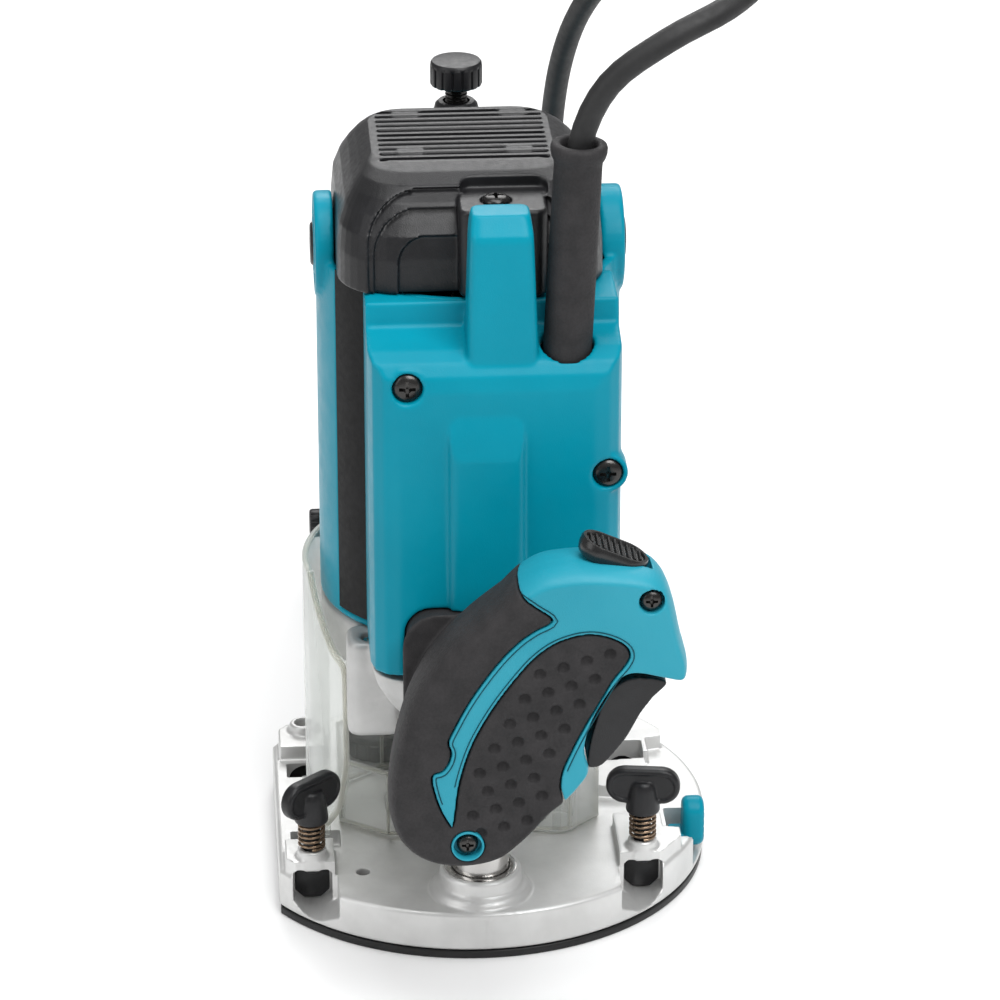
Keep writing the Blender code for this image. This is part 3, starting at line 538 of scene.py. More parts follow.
def base_look():
    """The cast base: rounded rim, four rail blocks, bosses for the columns and the clamp bolts."""
    base = prism(base_outline(), CAST_LOW, BASE_TOP, rounding=1.6)
    front = [(36, -68.4), (50.2, -68.4), (54, -65.2), (54, -51), (36, -51)]
    rear = [(24, 50.5), (54, 50.5), (54, 65.3), (42, 73.6), (36, 73.6), (34.5, 67.8), (24, 67.8)]
    blocks = [prism(outline, CAST_LOW + 1, BLOCK_TOP)
              for outline in (front, rear, mirrored(front), mirrored(rear))]
    blocks.append(prism([(-18, 47), (1, 47), (4, 66), (-20, 66)], CAST_LOW + 1, BLOCK_TOP - 0.6))
    join(base, *blocks)
    for side in (1, -1):
        join(base, lathe([(18.6, 12), (18.2, 17.6), (17.4, 19.6), (16.6, 20.6), (15.2, 21.2), (14.6, 21.8),
                          (14.4, 26.2), (13.6, 27)], (side * COLUMN_X, 0), steps=72))
        for end in (1, -1):
            join(base, lathe([(6.4, 20), (6.2, 23.4), (5.4, 24.4), (5.2, 26.4), (4.6, 27)],
                             (side * WING_X, end * RAIL_Y), steps=40))
    tools = [rail_part(RAIL_MOUTH, side, end, 46, 95) for side, end in CORNERS]
    tools.append(rod(31.0, 0, 40, steps=96))
    for side in (1, -1):
        tools.append(rod(COLUMN_R + 0.3, 6, 40, (side * COLUMN_X, 0), steps=48))
        for end in (1, -1):
            tools.append(rod(3.3, 12, 40, (side * WING_X, end * RAIL_Y), steps=24))
            tools.append(rail_part(RAIL_POCKET, side, end, 54.3, 95))
    for end in (1, -1):
        tools.append(rod(6.0, -95, 95, (end * RAIL_Y, RAIL_Z), "X", 32))
    tools += [box(x, y, (floor, 40)) for x, y, floor in BASE_POCKETS]
    tools.append(rod(2.5, 8, 40, (52, -41), steps=24))
    cut(base, *tools)
    join(base, box((BASE_R - 2, BASE_R + 0.25), (1.2, 2.2), (5.5, 15.5)))
    melted(base, 0.5, 2, 0.16)
    piece("base_look", base, "cast", "base", "base_casting", sharp=50)

    # Black blocks at the inner end of each rail channel: painted shade that darkens the channels.
    shade_blocks = [softened(rail_part(RAIL_SHADE_BLOCK, side, end, 40, 46.6), 0.5) for side, end in CORNERS]
    piece("rail_channel_shade", merged(shade_blocks), "black", "base", slot="sole_black")

    plate = prism(base_outline(0.4), 0, SOLE_TOP, rounding=0.6)
    cut(plate, rod(29.0, -5, 10, steps=96))
    for x, y in ((60, -38), (-60, -38), (56, 40), (-56, 40)):
        cut(plate, lathe([(4.2, -1), (4.2, 0.2), (1.9, 2.4), (1.9, 5)], (x, y), steps=32))
    piece("sole_look", plate, "sole", "base", "base_plate")


def columns_look():
    for side, name in SIDES:
        shape = lathe([(7.0, 6.6), (COLUMN_R, 6.6), (COLUMN_R, COLUMN_TOP - 1), (COLUMN_R - 1, COLUMN_TOP),
                       (7.0, COLUMN_TOP)], (side * COLUMN_X, 0), steps=72, ring=True)
        stand_in("column_" + name, shape, "steel", "base")
        seal = tube(12.9, COLUMN_R + 0.35, 25.6, 27.15, (side * COLUMN_X, 0), steps=64)
        piece("column_wiper_" + name, softened(seal, 0.3), "steel", "base", slot="bright_steel")


def limit_look():
    """The threaded limit rod and its ribbed knob."""
    spot = (-COLUMN_X, 0)
    threads = [(4.0, 6.6), (4.0, 262.0)]
    z = 262.4
    while z < 278.0:
        threads += [(4.0, z), (4.0, z + 0.3), (3.45, z + 0.75), (3.45, z + 0.95)]
        z += 1.4
    stand_in("limit_rod", lathe(threads, spot, steps=40), "dark_steel", "base")

    ribs = []
    for i in range(144):
        angle = 2 * math.pi * i / 144
        groove = max(0.0, 1 - abs((i % 9) - 4.5) / 1.6)
        reach = 9.3 - 0.9 * groove
        ribs.append((spot[0] + reach * math.cos(angle), spot[1] + reach * math.sin(angle)))
    knob = prism(ribs, 271.6, 279.8, rounding=0.9)
    join(knob, lathe([(9.0, 278.6), (9.2, 279.2), (9.15, 280.0), (8.6, 280.7), (6.0, 281.1), (0.5, 281.2)],
                     spot, steps=72))
    cut(knob, rod(4.4, 260, 279.6, spot, steps=40))
    stand_in("limit_knob", knob, "black", "limit_knob", sharp=35)


def clamp_bolts_look():
    """Wing bolts on their springs: a tapered hub between two dished wings."""
    turns = {"front": -47.0, "rear": 82.0}
    for end, name in ENDS:
        spot = (WING_X, end * RAIL_Y)
        wire = helix(spot, 4.4, 27.9, 38.2, 6.2, 28)
        stand_in("clamp_spring_" + name, swept(wire, 0.55, 8), "spring", "base", sharp=80)
        hub = lathe([(2.4, 17.6), (3.0, 18.2), (3.0, 37.9), (6.0, 37.9), (6.1, 38.8), (5.7, 43), (5.0, 47.4),
                     (4.4, 49.2), (3.4, 50.0)], spot, steps=48)
        outline = rounded(-13.2, 13.2, 41.2, 54.8, 6.7, 10)
        wings = prism([(spot[0] + u, v) for u, v in outline], spot[1] - 2.6, spot[1] + 2.6, "Y", 1.5, 5)
        for face in (1, -1):
            dish = prism([(spot[0] + u, v) for u, v in inset(outline, 1.9)],
                         *sorted((spot[1] + face * 2.0, spot[1] + face * 5)), "Y")
            cut(wings, dish)
        moved(wings, (*spot, 0), (*spot, 0), (turns[name], "Z"))
        join(hub, wings)
        melted(hub, 0.35, 4, 0.4)
        stand_in("wing_bolt_" + name, hub, "black", "wing_bolt_" + name, sharp=60)


def turret_look():
    block = lathe([(13.0, BASE_TOP + 0.3), (13.0, 24.4), (12.4, 24.8), (12.4, 26.6), (12.0, 27)],
                  TURRET, steps=72)
    spots = around(TURRET, 8.6, (270, 30, 150))
    cut(block, *[rod(2.8, 20, 40, spot, steps=24) for spot in spots],
        *[rod(0.9, 10, 25.4, spot, steps=10) for spot in around(TURRET, 13.3, range(0, 360, 20))])
    piece("turret_look", block, "black", "turret", "stopper_turret", sharp=35, slot="black_plastic")
    for number, (spot, top) in enumerate(zip(spots, (31.0, 35.0, 39.0)), 1):
        screw = lathe([(2.5, 20.4), (2.5, top - 3), (3.4, top - 3), (3.6, top - 2.8), (3.6, top - 0.5),
                       (3.2, top)], spot, steps=36)
        cut(screw, box((spot[0] - 5, spot[0] + 5), (spot[1] - 0.45, spot[1] + 0.45), (top - 1.1, top + 1)))
        stand_in("stop_screw_%d" % number, screw, "steel", "turret")


def lock_plate_look():
    lever = prism(rounded(14.5, 25.5, 8.2, 27.0, 5.3, 10), 76.0, 84.0, "Y", 2.4, 5)
    join(lever, box((15.5, 24.5), (71.5, 78), (8.6, 14.0), 1.0))
    for i in range(4):
        cut(lever, rod(0.7, 10, 30, (84.1, 13.5 + 3 * i), "X", 12))
    piece("lock_plate_look", lever, "teal", "lock_plate", "lock_plate_lever", sharp=45)


# ---------------------------------------------------------------- head

# The bowl under each side: level, sides of its outline and corner radius.
BOWL = (
    (84, 44, 76, -20, 20, 12), (88, 40, 78.6, -27, 27, 14), (93, 36, 79, -32, 33, 16),
    (99, 33, 79.2, -35.6, 37, 16), (104, 32, 79.2, -37, 40, 15), (106.6, 32, 79.2, -37.4, 41, 14),
)


def bracket_look():
    """The cast motor bracket: a smooth bowl under each side, sleeves, and a block with a screw."""
    plate = prism(arc(HOUSING_R, 0, 355, 71), 88, 107, rounding=3.0)
    for side in (1, -1):
        bowl = []
        for z, *shape in BOWL:
            outline = rounded(*shape, 8)
            bowl.append((z, outline if side > 0 else mirrored(outline)))
        sleeve = [(13.4, 68), (14.4, 70), (15.2, 76), (16, 96), (13.6, 108), (13.6, 150)]
        join(plate, loft(bowl), lathe(sleeve, (side * COLUMN_X, 0), steps=64))
    join(plate, lathe([(19.0, 66), (20.6, 67.6), (22, 71), (23, 92)], steps=64))
    join(plate, box((33, 50), (-45.5, -26), (70.5, 107), 4.5))
    join(plate, rod(8.6, 90, 121, POLE, steps=40))
    cut(plate,
        lathe([(12.6, 40), (12.6, 75.7), (17.8, 75.7), (17.8, 86.3), (13.5, 86.3), (13.5, 130)], steps=64),
        rod(HOUSING_R + 0.8, 107.15, 155, steps=96),
        rod(3.5, 103.2, 120, BRACKET_SCREW, steps=32),
        rod(4.4, 80, 130, POLE, steps=32),
        rod(3.4, -60, -40, POLE_NUT, "Y", 24),
        rod(5.4, 30, 80, SHAFT_LOCK, "Y", 32),
        *[rod(COLUMN_R + 0.3, 60, 160, (side * COLUMN_X, 0), steps=48) for side in (1, -1)])
    melted(plate, 0.75, 7, 0.3)
    piece("bracket_look", plate, "bracket", "head", "motor_bracket", sharp=60)

    screw = lathe([(3.0, 102), (3.0, 105.2), (2.6, 105.6)], BRACKET_SCREW, steps=36)
    cut(screw, prism(arc(1.5, 0, 300, 5, BRACKET_SCREW), 104, 108))
    piece("bracket_screw", screw, "steel", "head", slot="bright_steel")


def housing_look():
    """The moulded motor housing, with two brush bosses and the tower over the left column."""
    shell = rod(HOUSING_R, 107.3, SEAM_Z, steps=144)
    tower = prism(rounded(-83, -44, -19, 19, 9, 8), 107.3, 256, rounding=3.0)
    join(shell, tower)
    for side in (1, -1):
        boss = prism(arc(18.5, 0, 352, 44, BRUSH), *sorted((side * 45.0, side * 53.6)), "Y", 1.4, 3)
        join(shell, boss)
        cut(shell, lathe([(14.6, side * 52.6), (15.4, side * 54.4)], BRUSH, "Y", 64))
        join(shell, lathe([(10.6, side * 47), (10.6, side * 53.4), (10.0, side * 54.0)], BRUSH, "Y", 64))
    cut(shell,
        rod(HOUSING_R - 3.2, 100, SEAM_Z, steps=144),
        prism(cap_rings(-0.35)[0][1], SEAM_Z - 1, SEAM_Z + 50),
        rod(14.0, 100, 252, (-COLUMN_X, 0), steps=48),
        rod(5.2, 240, 280, (-COLUMN_X, 0), steps=32),
        *[rod(8.2, *sorted((side * 50.6, side * 60)), BRUSH, "Y", 48) for side in (1, -1)])
    for side in (1, -1):
        cut(shell, prism(band_outline(side, HOUSING_R - 1.9, HOUSING_R + 4), 110.0, SEAM_Z + 2))
    melted(shell, 0.8, 3, 0.3)
    piece("housing_look", shell, "teal", "head", "motor_housing", sharp=60)

    for side, name in SIDES:
        panel = prism(band_outline(side, HOUSING_R - 1.6, HOUSING_R + 0.3, 0.35), 110.4, SEAM_Z)
        stand_in("side_band_" + name, panel, "band", "head", slot="black_plastic")
    collar = lathe([(9.4, 255.6), (9.4, 259), (8.6, 260.4), (7.6, 264.4), (6.4, 265.6), (4.9, 265.6),
                    (4.9, 255.6)], (-COLUMN_X, 0), steps=64, ring=True)
    piece("limit_rod_collar", collar, "black", "head", slot="black_plastic")
    for side, name in ENDS:
        cap = lathe([(7.6, side * 50.9), (7.6, side * 53.9), (7.2, side * 54.5), (6.6, side * 54.8)],
                    BRUSH, "Y", 48)
        cut(cap, box((-6.2, 6.2), sorted((side * 53.2, side * 60)), (SEAM_Z - 0.8, SEAM_Z + 0.8)))
        stand_in("brush_cap_" + name, softened(cap, 0.25), "black", "head")


def band_outline(side, inner, outer, trim=0.0):
    """The black band between the front of the housing and the cover, seen from above."""
    points = arc(inner, -62.5 + trim, -44.0 - trim, 12) + arc(outer, -44.0 - trim, -62.5 + trim, 12)
    return points if side > 0 else mirrored(points)


CAP_SCREW = (44.0, 7.0)
VENT_START, VENT_PITCH = -27.5, 4.6
# Height of each outline of the cap, its reach to the left, right, front and rear, and its corner radius.
CAP_SIZES = (
    (SEAM_Z + 0.3, 46.6, 52.4, 46.6, 44.5, 22), (250, 46.4, 51.8, 46.5, 44.3, 22),
    (258, 45.6, 50.2, 45.8, 43.6, 22), (264.5, 43.0, 47.0, 43.4, 41.0, 21),
    (269, 39.5, 42.6, 40.6, 38.0, 19), (272.4, 35.8, 36.6, 37.8, 34.6, 16),
    (274.8, 32.4, 29.6, 35.2, 31.2, 13.5), (276, 30.0, 23.0, 33.5, 29.0, 12),
)


def cap_rings(trim=0.0):
    """Heights and plan outlines of the cap, from its foot to the flat top."""
    rings = []
    for z, left, right, front, rear, radius in CAP_SIZES:
        outline = rounded(-left + trim, right - trim, -front + trim, rear - trim, max(4, radius - trim), 10)
        rings.append((z - trim * (z > 262), outline))
    return rings


def cap_look():
    """The vented black cap: slots on top, and a stepped shoulder that frames the screw ledge."""
    cap = loft(cap_rings())
    arches = ((-36.6, 33.0, 271.6, 17, 1.3), (-34.6, 31.0, 266.4, 15, 2.7), (-26.4, 27.0, 258.4, 10, 4.2))
    for left, right, top, radius, depth in arches:
        block = prism(rounded(left, right, 225, top, radius, 10), 30, 80, "X")
        cut(block, loft([(SEAM_Z - 20, cap_rings(depth)[0][1])] + cap_rings(depth)))
        cut(cap, block)
    join(cap, prism(rounded(20, 55.5, -6.0, 24.0, 4), SEAM_Z + 0.3, 269.6, rounding=1.5))
    cut(cap, prism(rounded(32.5, 70, -4.6, 25, 4), 269.6, 290))
    hollow = [(z - 3.2, outline) for z, outline in cap_rings(5.2)]
    cut(cap, loft([(SEAM_Z - 10, hollow[0][1])] + hollow[1:]))
    join(cap, rod(19.0, 249.0, 272.0, steps=48))
    tools = [rod(15.3, 240, 262.4, steps=48), rod(11.5, 240, 268.0, steps=48),
             rod(2.9, 262, 285, CAP_SCREW, steps=24), rod(5.4, 268.2, 285, CAP_SCREW, steps=40)]
    for i in range(11):
        x = VENT_START + VENT_PITCH * i
        tools.append(prism(rounded(x, x + 2.2, -31, 27, 1.05, 4), 268, 280))
    tools.append(rod(14.4, 230, 290, (-COLUMN_X, 0), steps=48))
    cut(cap, *tools)
    for i in (0, 8):
        x = VENT_START + VENT_PITCH * i
        join(cap, *[prism(rounded(x - 1, x + 5.4, *y, 1), 268.5, 275.7) for y in ((-25, -15.5), (12.5, 22))])
    melted(cap, 0.5, 3, 0.28)
    piece("cap_look", cap, "black", "head", "top_cap", sharp=60)


COVER_SCREWS = ((-25.0, 215.5), (42.8, 182.5))


def cover_look():
    """The right cover: a soft bulge, a U arch for the neck, a tower and the screw wells."""
    plan = [(30, -38), (69, -38), (74.5, -36.6), (78.3, -33), (79.5, -28), (79.5, 38), (78.3, 43),
            (74.5, 46.6), (69, 48), (30, 48)]
    side = [(30, 109), (79.5, 109), (79.5, 214), (78.6, 219.4), (76, 223.4), (70, 226.4), (56.8, 229.4),
            (55.6, 237.7), (30, 237.7)]
    cover = prism(plan, 100, 250)
    common(cover, prism(side, -60, 60, "Y"))
    tower = stack([(218, 55.6, 76.8, -5.0, 19.7, 3), (266, 57.6, 75.4, -3.6, 17.9, 3),
                   (268, 57.6, 75.0, -3.5, 17.8, 3), (273.4, 58.6, 70.6, -2.8, 17, 3),
                   (274, 59.2, 69.8, -2.2, 16.4, 3)])
    arch_top = [(-11.4, 109.4)] + arc(12.9, 180, 0, 16, (1.5, 196.5)) + [(14.4, 109.4)]
    bulge = prism(arch_top, 70, 82.6, "X", 3.0, 5)
    slant = prism([(70, 100), (82.6, 100), (82.6, 190), (78.2, 212), (70, 212)], -20, 25, "Y")
    common(bulge, slant)
    join(cover, tower, bulge)
    inner = prism(inset(plan, 2.8), 90, 250)
    inner_side = [(20, 90), (76.7, 90), (76.7, 213.8), (74.4, 219.4), (69.2, 223.1), (51, 225.4), (20, 225.4)]
    common(inner, prism(inner_side, -60, 60, "Y"))
    arch = prism(rounded(-26.7, 12.2, 95, 134.3, 9.5, 8), 60, 100, "X")
    cut(cover, inner, rod(HOUSING_R + 0.7, 90, 260, steps=96),
        rod(14.0, 90, 200, (COLUMN_X, 0), steps=48),
        prism(rounded(61, 72.5, 0.5, 14.5, 3), 200, 268),
        rod(9.2, 212, 240, (67, 29.4), steps=48), arch)
    for spot in COVER_SCREWS:
        join(cover, rod(6.9, 68, 78, spot, "X", 40))
        cut(cover, lathe([(5.3, 75.4), (5.3, 78.6), (6.4, 80.2)], spot, "X", 40),
            rod(2.9, 60, 95, spot, "X", 20))
    melted(cover, 0.7, 6, 0.3)
    piece("cover_look", cover, "teal", "head", "right_cover", sharp=60)


def guard_look():
    """The tapered cord guard with its flared lip."""
    foot, top = Vector((67, 29.2, 216.0)), Vector((67, 33.2, 298.0))
    lean = math.atan2(top.y - foot.y, top.z - foot.z)
    height = (top - foot).length
    lip = [(8.1, 8), (8.2, 6.4), (9.1, 4.6), (9.5, 3.0), (9.55, 1.4), (9.2, 0.4), (8.4, 0), (6.9, 0),
           (6.3, 0.6), (5.9, 3), (5.6, 8)]
    shape = lathe([(8.3, 0), (8.25, 30)] + [(radius, height - drop) for radius, drop in lip] + [(5.6, 14)],
                  steps=64)
    moved(shape, ORIGIN, foot, (-math.degrees(lean), "X"))
    piece("guard_look", shape, "soft", "head", "cord_guard", sharp=50)


def left_controls_look():
    hub = lathe([(6.4, 19.4), (7.0, 20), (7.0, 28.2), (6.2, 29)], (-COLUMN_X, 132), "Y", 48)
    arm = prism(smooth_outline([(-COLUMN_X - 2, 127), (-COLUMN_X - 16, 133), (-COLUMN_X - 30, 140),
                                (-COLUMN_X - 33, 146), (-COLUMN_X - 28, 150), (-COLUMN_X - 14, 145),
                                (-COLUMN_X, 139)], 4), 22, 28, "Y", 2.0, 4)
    join(hub, arm)
    melted(hub, 0.4, 5, 0.4)
    stand_in("lock_lever", hub, "black", "lock_lever", sharp=60)

    pole = lathe([(3.2, 86), (4.0, 87), (4.0, 196), (3.4, 197)], POLE, steps=40)
    for i in range(13):
        z = 120 + 5 * i
        groove = [(3.82, z), (4.3, z - 0.2), (4.3, z + 0.4), (3.82, z + 0.2)]
        cut(pole, lathe(groove, POLE, steps=40, ring=True))
    stand_in("stopper_pole", pole, "steel", "stopper_pole")
    nut = lathe([(3.0, -44.2), (3.0, -50.8), (4.8, -50.8), (5.2, -51.4), (5.2, -54.6), (4.8, -55.4),
                 (4.0, -55.6)], POLE_NUT, "Y", 48)
    cut(nut, *[rod(0.5, -57, -51.6, spot, "Y", 10) for spot in around(POLE_NUT, 5.35, range(0, 360, 30))])
    piece("pole_nut_look", nut, "black", "pole_nut", "pole_setting_nut", sharp=35)
    button = lathe([(5.0, 41), (5.0, 56.2), (4.5, 56.8), (3.6, 57)], SHAFT_LOCK, "Y", 48)
    cut(button, lathe([(0.5, 56.5), (2.8, 57.4)], SHAFT_LOCK, "Y", 24))
    piece("shaft_lock_look", button, "black", "shaft_lock", "shaft_lock_button")


def shields_look():
    """The clear chip deflector and dust cover, with thicker edges that catch the light."""
    inner = arc(57.2, -120, -52, 68)
    outer = arc(59.4, -52, -120, 68)
    shield = prism(inner + outer, 18.4, 118.0)
    slope = [(-30, 130), (12, 119), (30, 96), (46, 86), (60, 86), (60, 140), (-30, 140)]
    foot = [(25, 10), (60, 10), (60, 60), (37, 52), (33, 34), (25, 24)]
    cut(shield, prism(slope, -80, 0, "Y"), prism(foot, -80, 0, "Y"))
    join(shield, box((-8, 8), (-60.8, -57.6), (18.4, 26), 0.8))
    piece("deflector_look", softened(shield, 0.35, 2, 40), "clear", "base", "chip_deflector")
    edge = [(x, 117.4) for x in range(-28, 12, 4)]
    edge += [(12, 116.8), (18, 109.8), (24, 102.2), (30, 95), (33, 93), (35.6, 90), (36.1, 80), (36.1, 66),
             (36, 53), (34, 42), (32, 33), (25, 23.6)]
    rim = swept(smooth_path([(x, -math.sqrt(58.4 ** 2 - x * x), z) for x, z in edge], 3), 1.15, 12)
    piece("deflector_rim", rim, "clear_edge", "base", slot="clear_plastic", sharp=60)

    plan = [(27, -31), (27, 35), (17, 46), (-17, 46), (-27, 35), (-27, -31), (-15, -48), (15, -48)]
    cover = prism(plan, 18.4, 44.0, rounding=1.4)
    cut(cover, prism(inset(plan, 2.0), 10, 60))
    for y in (-20, 0, 20):
        join(cover, *[box(x, (y - 0.8, y + 0.8), (20, 42)) for x in ((25.6, 28.4), (-28.4, -25.6))])
    join(cover, tube(9.0, 7.2, 19, 43, (20, 30), steps=40))
    stand_in("dust_cover", softened(cover, 0.4, 2, 40), "clear_dull", "base")
    rims = []
    for level in (19.4, 43.4):
        rims.append(swept([(x, y, level) for x, y in inset(plan, 0.7) + [inset(plan, 0.7)[0]]], 0.8, 10))
    for x, y in inset(plan, 0.8):
        rims.append(swept([(x, y, 20.4), (x, y, 31), (x, y, 42.4)], 0.7, 10))
    piece("dust_cover_rims", merged(rims), "clear_edge", "base", slot="clear_plastic", sharp=60)


def springs_look():
    """The two plunge springs, as fixed coils; the real ones shorten as the head comes down."""
    for side, name in SIDES:
        spring = swept(helix((side * COLUMN_X, 0), 5.5, SPRING_LOW, SPRING_HIGH, 13, 24), 0.7, 6)
        stand_in("plunge_spring_" + name, spring, "spring", None, sharp=80)
        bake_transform(spring)


def collet_look():
    nut = prism(arc(13.8, 0, 300, 5), 43.5, 62.4)
    common(nut, lathe([(11.4, 43.5), (13.9, 45.4), (13.9, 60.5), (11.8, 62.4)], steps=72))
    cut(nut, lathe([(7.4, 42), (6.0, 45), (6.0, 70)], steps=48))
    stand_in("collet_nut", softened(nut, 0.2), "steel", "spindle")


def plug_look():
    """A moulded plug with ribs at its tail and two round pins."""
    plug = stack([(0, -6.4, 6.4, -5.6, 5.6, 5), (12, -8, 8, -7, 7, 5), (20, -16, 16, -8.8, 8.8, 7),
                  (27, -18, 18, -9, 9, 8), (44, -18.4, 18.4, -9, 9, 8), (50, -17.5, 17.5, -8.4, 8.4, 8)])
    cut(plug, *[tube(20, 6.6 + 0.35 * i, 2.4 + 2.6 * i, 3.6 + 2.6 * i, steps=32) for i in range(4)])
    melted(plug, 0.5, 4, 0.4)
    pins = merged([lathe([(2.35, 46), (2.35, 67.6), (1.5, 69)], (x, 0), steps=24) for x in (9.5, -9.5)])
    for obj in (plug, pins):
        moved(obj, ORIGIN, PLUG_ENTRY, (PLUG_TURN, "Z"), (90, "Y"), (90, "Z"))
    body = stand_in("plug", plug, "black", "base", sharp=60)
    pins = piece("plug_pins", pins, "steel", "base", slot="bright_steel")
    return [body, pins]


# ---------------------------------------------------------------- handles

GRIP_IN, GRIP_WIDEST, GRIP_OUT = 108.0, 137.0, 147.0
HANDLE_SCREWS = ((51.5, 166.8), (-9.2, 78.4))
# Outline of the handle where it is widest, as y, z and how far it draws in at its outer and inner face.
GRIP_OUTLINE = (
    (2, 164.5, 3.5, 11), (8, 171, 3.5, 12), (15.4, 175.6, 3.6, 13), (24, 177.4, 3.8, 14),
    (34, 177.6, 3.8, 14), (49, 175.8, 3.8, 13), (55.6, 172, 3.4, 11), (59, 165, 3, 8), (61.8, 152, 2.6, 6),
    (64.2, 142, 2, 5), (62.6, 136.9, 1.4, 4), (55.3, 138.2, 1.2, 3), (47.5, 140, 1.2, 3),
    (42.5, 138.8, 1.2, 3), (37.3, 132, 1.2, 4), (32.5, 122.5, 1.2, 4), (30.2, 112.5, 1.2, 4),
    (31.8, 104.4, 1.4, 4), (28.6, 98.4, 1.8, 5), (24.2, 93, 2.2, 7), (18.6, 88, 2.4, 8),
    (13.3, 81.6, 2.6, 9), (7.8, 75.8, 3, 10), (1.5, 71.2, 3, 10), (-8, 68.9, 3.2, 10),
    (-17.5, 69.4, 3.4, 10), (-25.6, 72.6, 3.4, 10), (-31.2, 78, 3.4, 10), (-34.3, 85, 3.4, 10),
    (-35.3, 93.5, 3.4, 10), (-34.7, 103, 3.4, 10), (-32.3, 115.5, 3.4, 10), (-28.9, 127, 3.4, 10),
    (-23.5, 138, 3.4, 10), (-17.1, 146.6, 3.4, 10), (-8, 156, 3.4, 10),
)
# The two edges of the hard shell: the front of its left band, and the rim of the rubber panel.
BAND_FRONT = (
    (-14, 196), (-2, 184), (5.4, 174.4), (7.7, 170.5), (13.1, 166), (18.9, 161.1), (13.1, 157.4),
    (7.7, 153.3), (1.5, 146.6), (-4.7, 138.1), (-9.4, 130.5), (-13, 123.4), (-15.6, 117.4), (-14.6, 113.6),
    (-15.4, 109.8), (-17.6, 106.6), (-20.9, 105.2), (-20.6, 100.1), (-18.2, 92.1), (-14.2, 84.4),
)
PANEL_RIM = (
    (-13.2, 91.9), (-12.1, 100.7), (-9.9, 109.5), (-7.1, 117.3), (-3.2, 125), (1.5, 132.7), (7.7, 141.2),
    (13.2, 147.6), (19.4, 152.3), (26.3, 154.9), (32.5, 155.4), (38.8, 153.7), (43.1, 150.8), (44.4, 147.6),
    (43.1, 144.2), (38.9, 138.6), (35.1, 131.6), (31.2, 124.5), (27.4, 117), (24.3, 110.1), (22.3, 104.8),
    (21.6, 99.4),
)
DIMPLE_START = (37.9, 148.4)
DIMPLE_COLUMN = (-7.7, -2.2)
DIMPLE_ROW = (-5.0, -9.0)
DIMPLE_SPANS = ((0, 3), (0, 3), (0, 3), (0, 3), (0, 3), (0, 2), (-1, 2), (-1, 1))
TRIGGER_LOOK = (
    (45.4, 137), (57, 135.4), (52.5, 129.5), (48.8, 124.2), (47, 120.9), (43.9, 115), (39.6, 109.2),
    (35.7, 105), (31.6, 104.4), (31.2, 109), (33.2, 119), (37.5, 131),
)
TRIGGER_PIVOT = (46.0, 135.0)
TRIGGER = (
    (45, 138), (56.5, 135.5), (52, 128.5), (46, 116), (40, 108), (35.5, 103.6), (31, 103.4), (29.6, 108),
    (31.6, 119), (36, 131),
)


def turned_about(point, pivot, degrees):
    """A point of the handle's side after the trigger has swung in by some degrees."""
    angle = math.radians(degrees)
    u, v = point[0] - pivot[0], point[1] - pivot[1]
    return (pivot[0] + u * math.cos(angle) + v * math.sin(angle),
            pivot[1] - u * math.sin(angle) + v * math.cos(angle))


def open_smooth(points, steps=4):
    """A smooth open line through points of a plane."""
    return [(p.x, p.y) for p in smooth_path([(u, v, 0) for u, v in points], steps)]


def grip_solid(grow=0.0, steps=8):
    """The whole handle: a large rounding towards the machine and a smaller one outside."""
    closed = (*GRIP_OUTLINE, GRIP_OUTLINE[0])
    outer = smooth_path([point[:3] for point in closed], 4)[:-1]
    inner = smooth_path([(*point[:2], point[3]) for point in closed], 4)[:-1]
    outline = [(p.x, p.y) for p in outer]
    full = inset(outline, 1.0)

    def drawn_in(line, share):
        """The outline moved in by a share of the third coordinate of a line."""
        points = []
        for a, b, amount in zip(outline, full, line):
            by = amount.z * share - grow
            points.append((a[0] + (b[0] - a[0]) * by, a[1] + (b[1] - a[1]) * by))
        return points

    layers = []
    for i in range(steps + 1):
        angle = 0.5 * math.pi * i / steps
        level = GRIP_WIDEST - (GRIP_WIDEST - GRIP_IN + grow) * math.cos(angle)
        layers.append((level, drawn_in(inner, 1 - math.sin(angle))))
    for i in range(1, steps + 1):
        angle = 0.5 * math.pi * i / steps
        level = GRIP_WIDEST + (GRIP_OUT - GRIP_WIDEST + grow) * math.sin(angle)
        layers.append((level, drawn_in(outer, 1 - math.cos(angle))))
    return loft(layers, "X")


def shell_zone(gap):
    """Outline of the hard shell on the handle's side; gap is half the groove round it."""
    corner = [(24, 90), (60, 84), (90, 110), (90, 196)]
    return inset(open_smooth(BAND_FRONT) + open_smooth(PANEL_RIM) + corner, gap)


def dimples():
    made = []
    for row, (first, last) in enumerate(DIMPLE_SPANS):
        for column in range(first, last + 1):
            spot = (DIMPLE_START[0] + DIMPLE_COLUMN[0] * column + DIMPLE_ROW[0] * row,
                    DIMPLE_START[1] + DIMPLE_COLUMN[1] * column + DIMPLE_ROW[1] * row)
            made.append(lathe([(0.4, GRIP_OUT - 1.5), (1.3, GRIP_OUT - 1.3), (1.85, GRIP_OUT - 0.6),
                               (2.15, GRIP_OUT - 0.1), (2.9, GRIP_OUT + 0.6)], spot, "X", 20))
    return merged(made)


def neck(start):
    """The black stub between the machine and the handle."""
    return stack([(start, -26.1, 11.6, 109.6, 133.7, 8.8), (79.9, -26.1, 11.6, 109.6, 133.7, 8.8),
                  (80.6, -26.1, 11.6, 103.6, 133.8, 8.8), (90, -26.3, 11, 103.8, 134.4, 10),
                  (98, -26.6, 10, 104, 136.5, 11), (106, -28, 10, 104.4, 142, 12),
                  (114, -29, 12, 105, 149, 12)], "X")


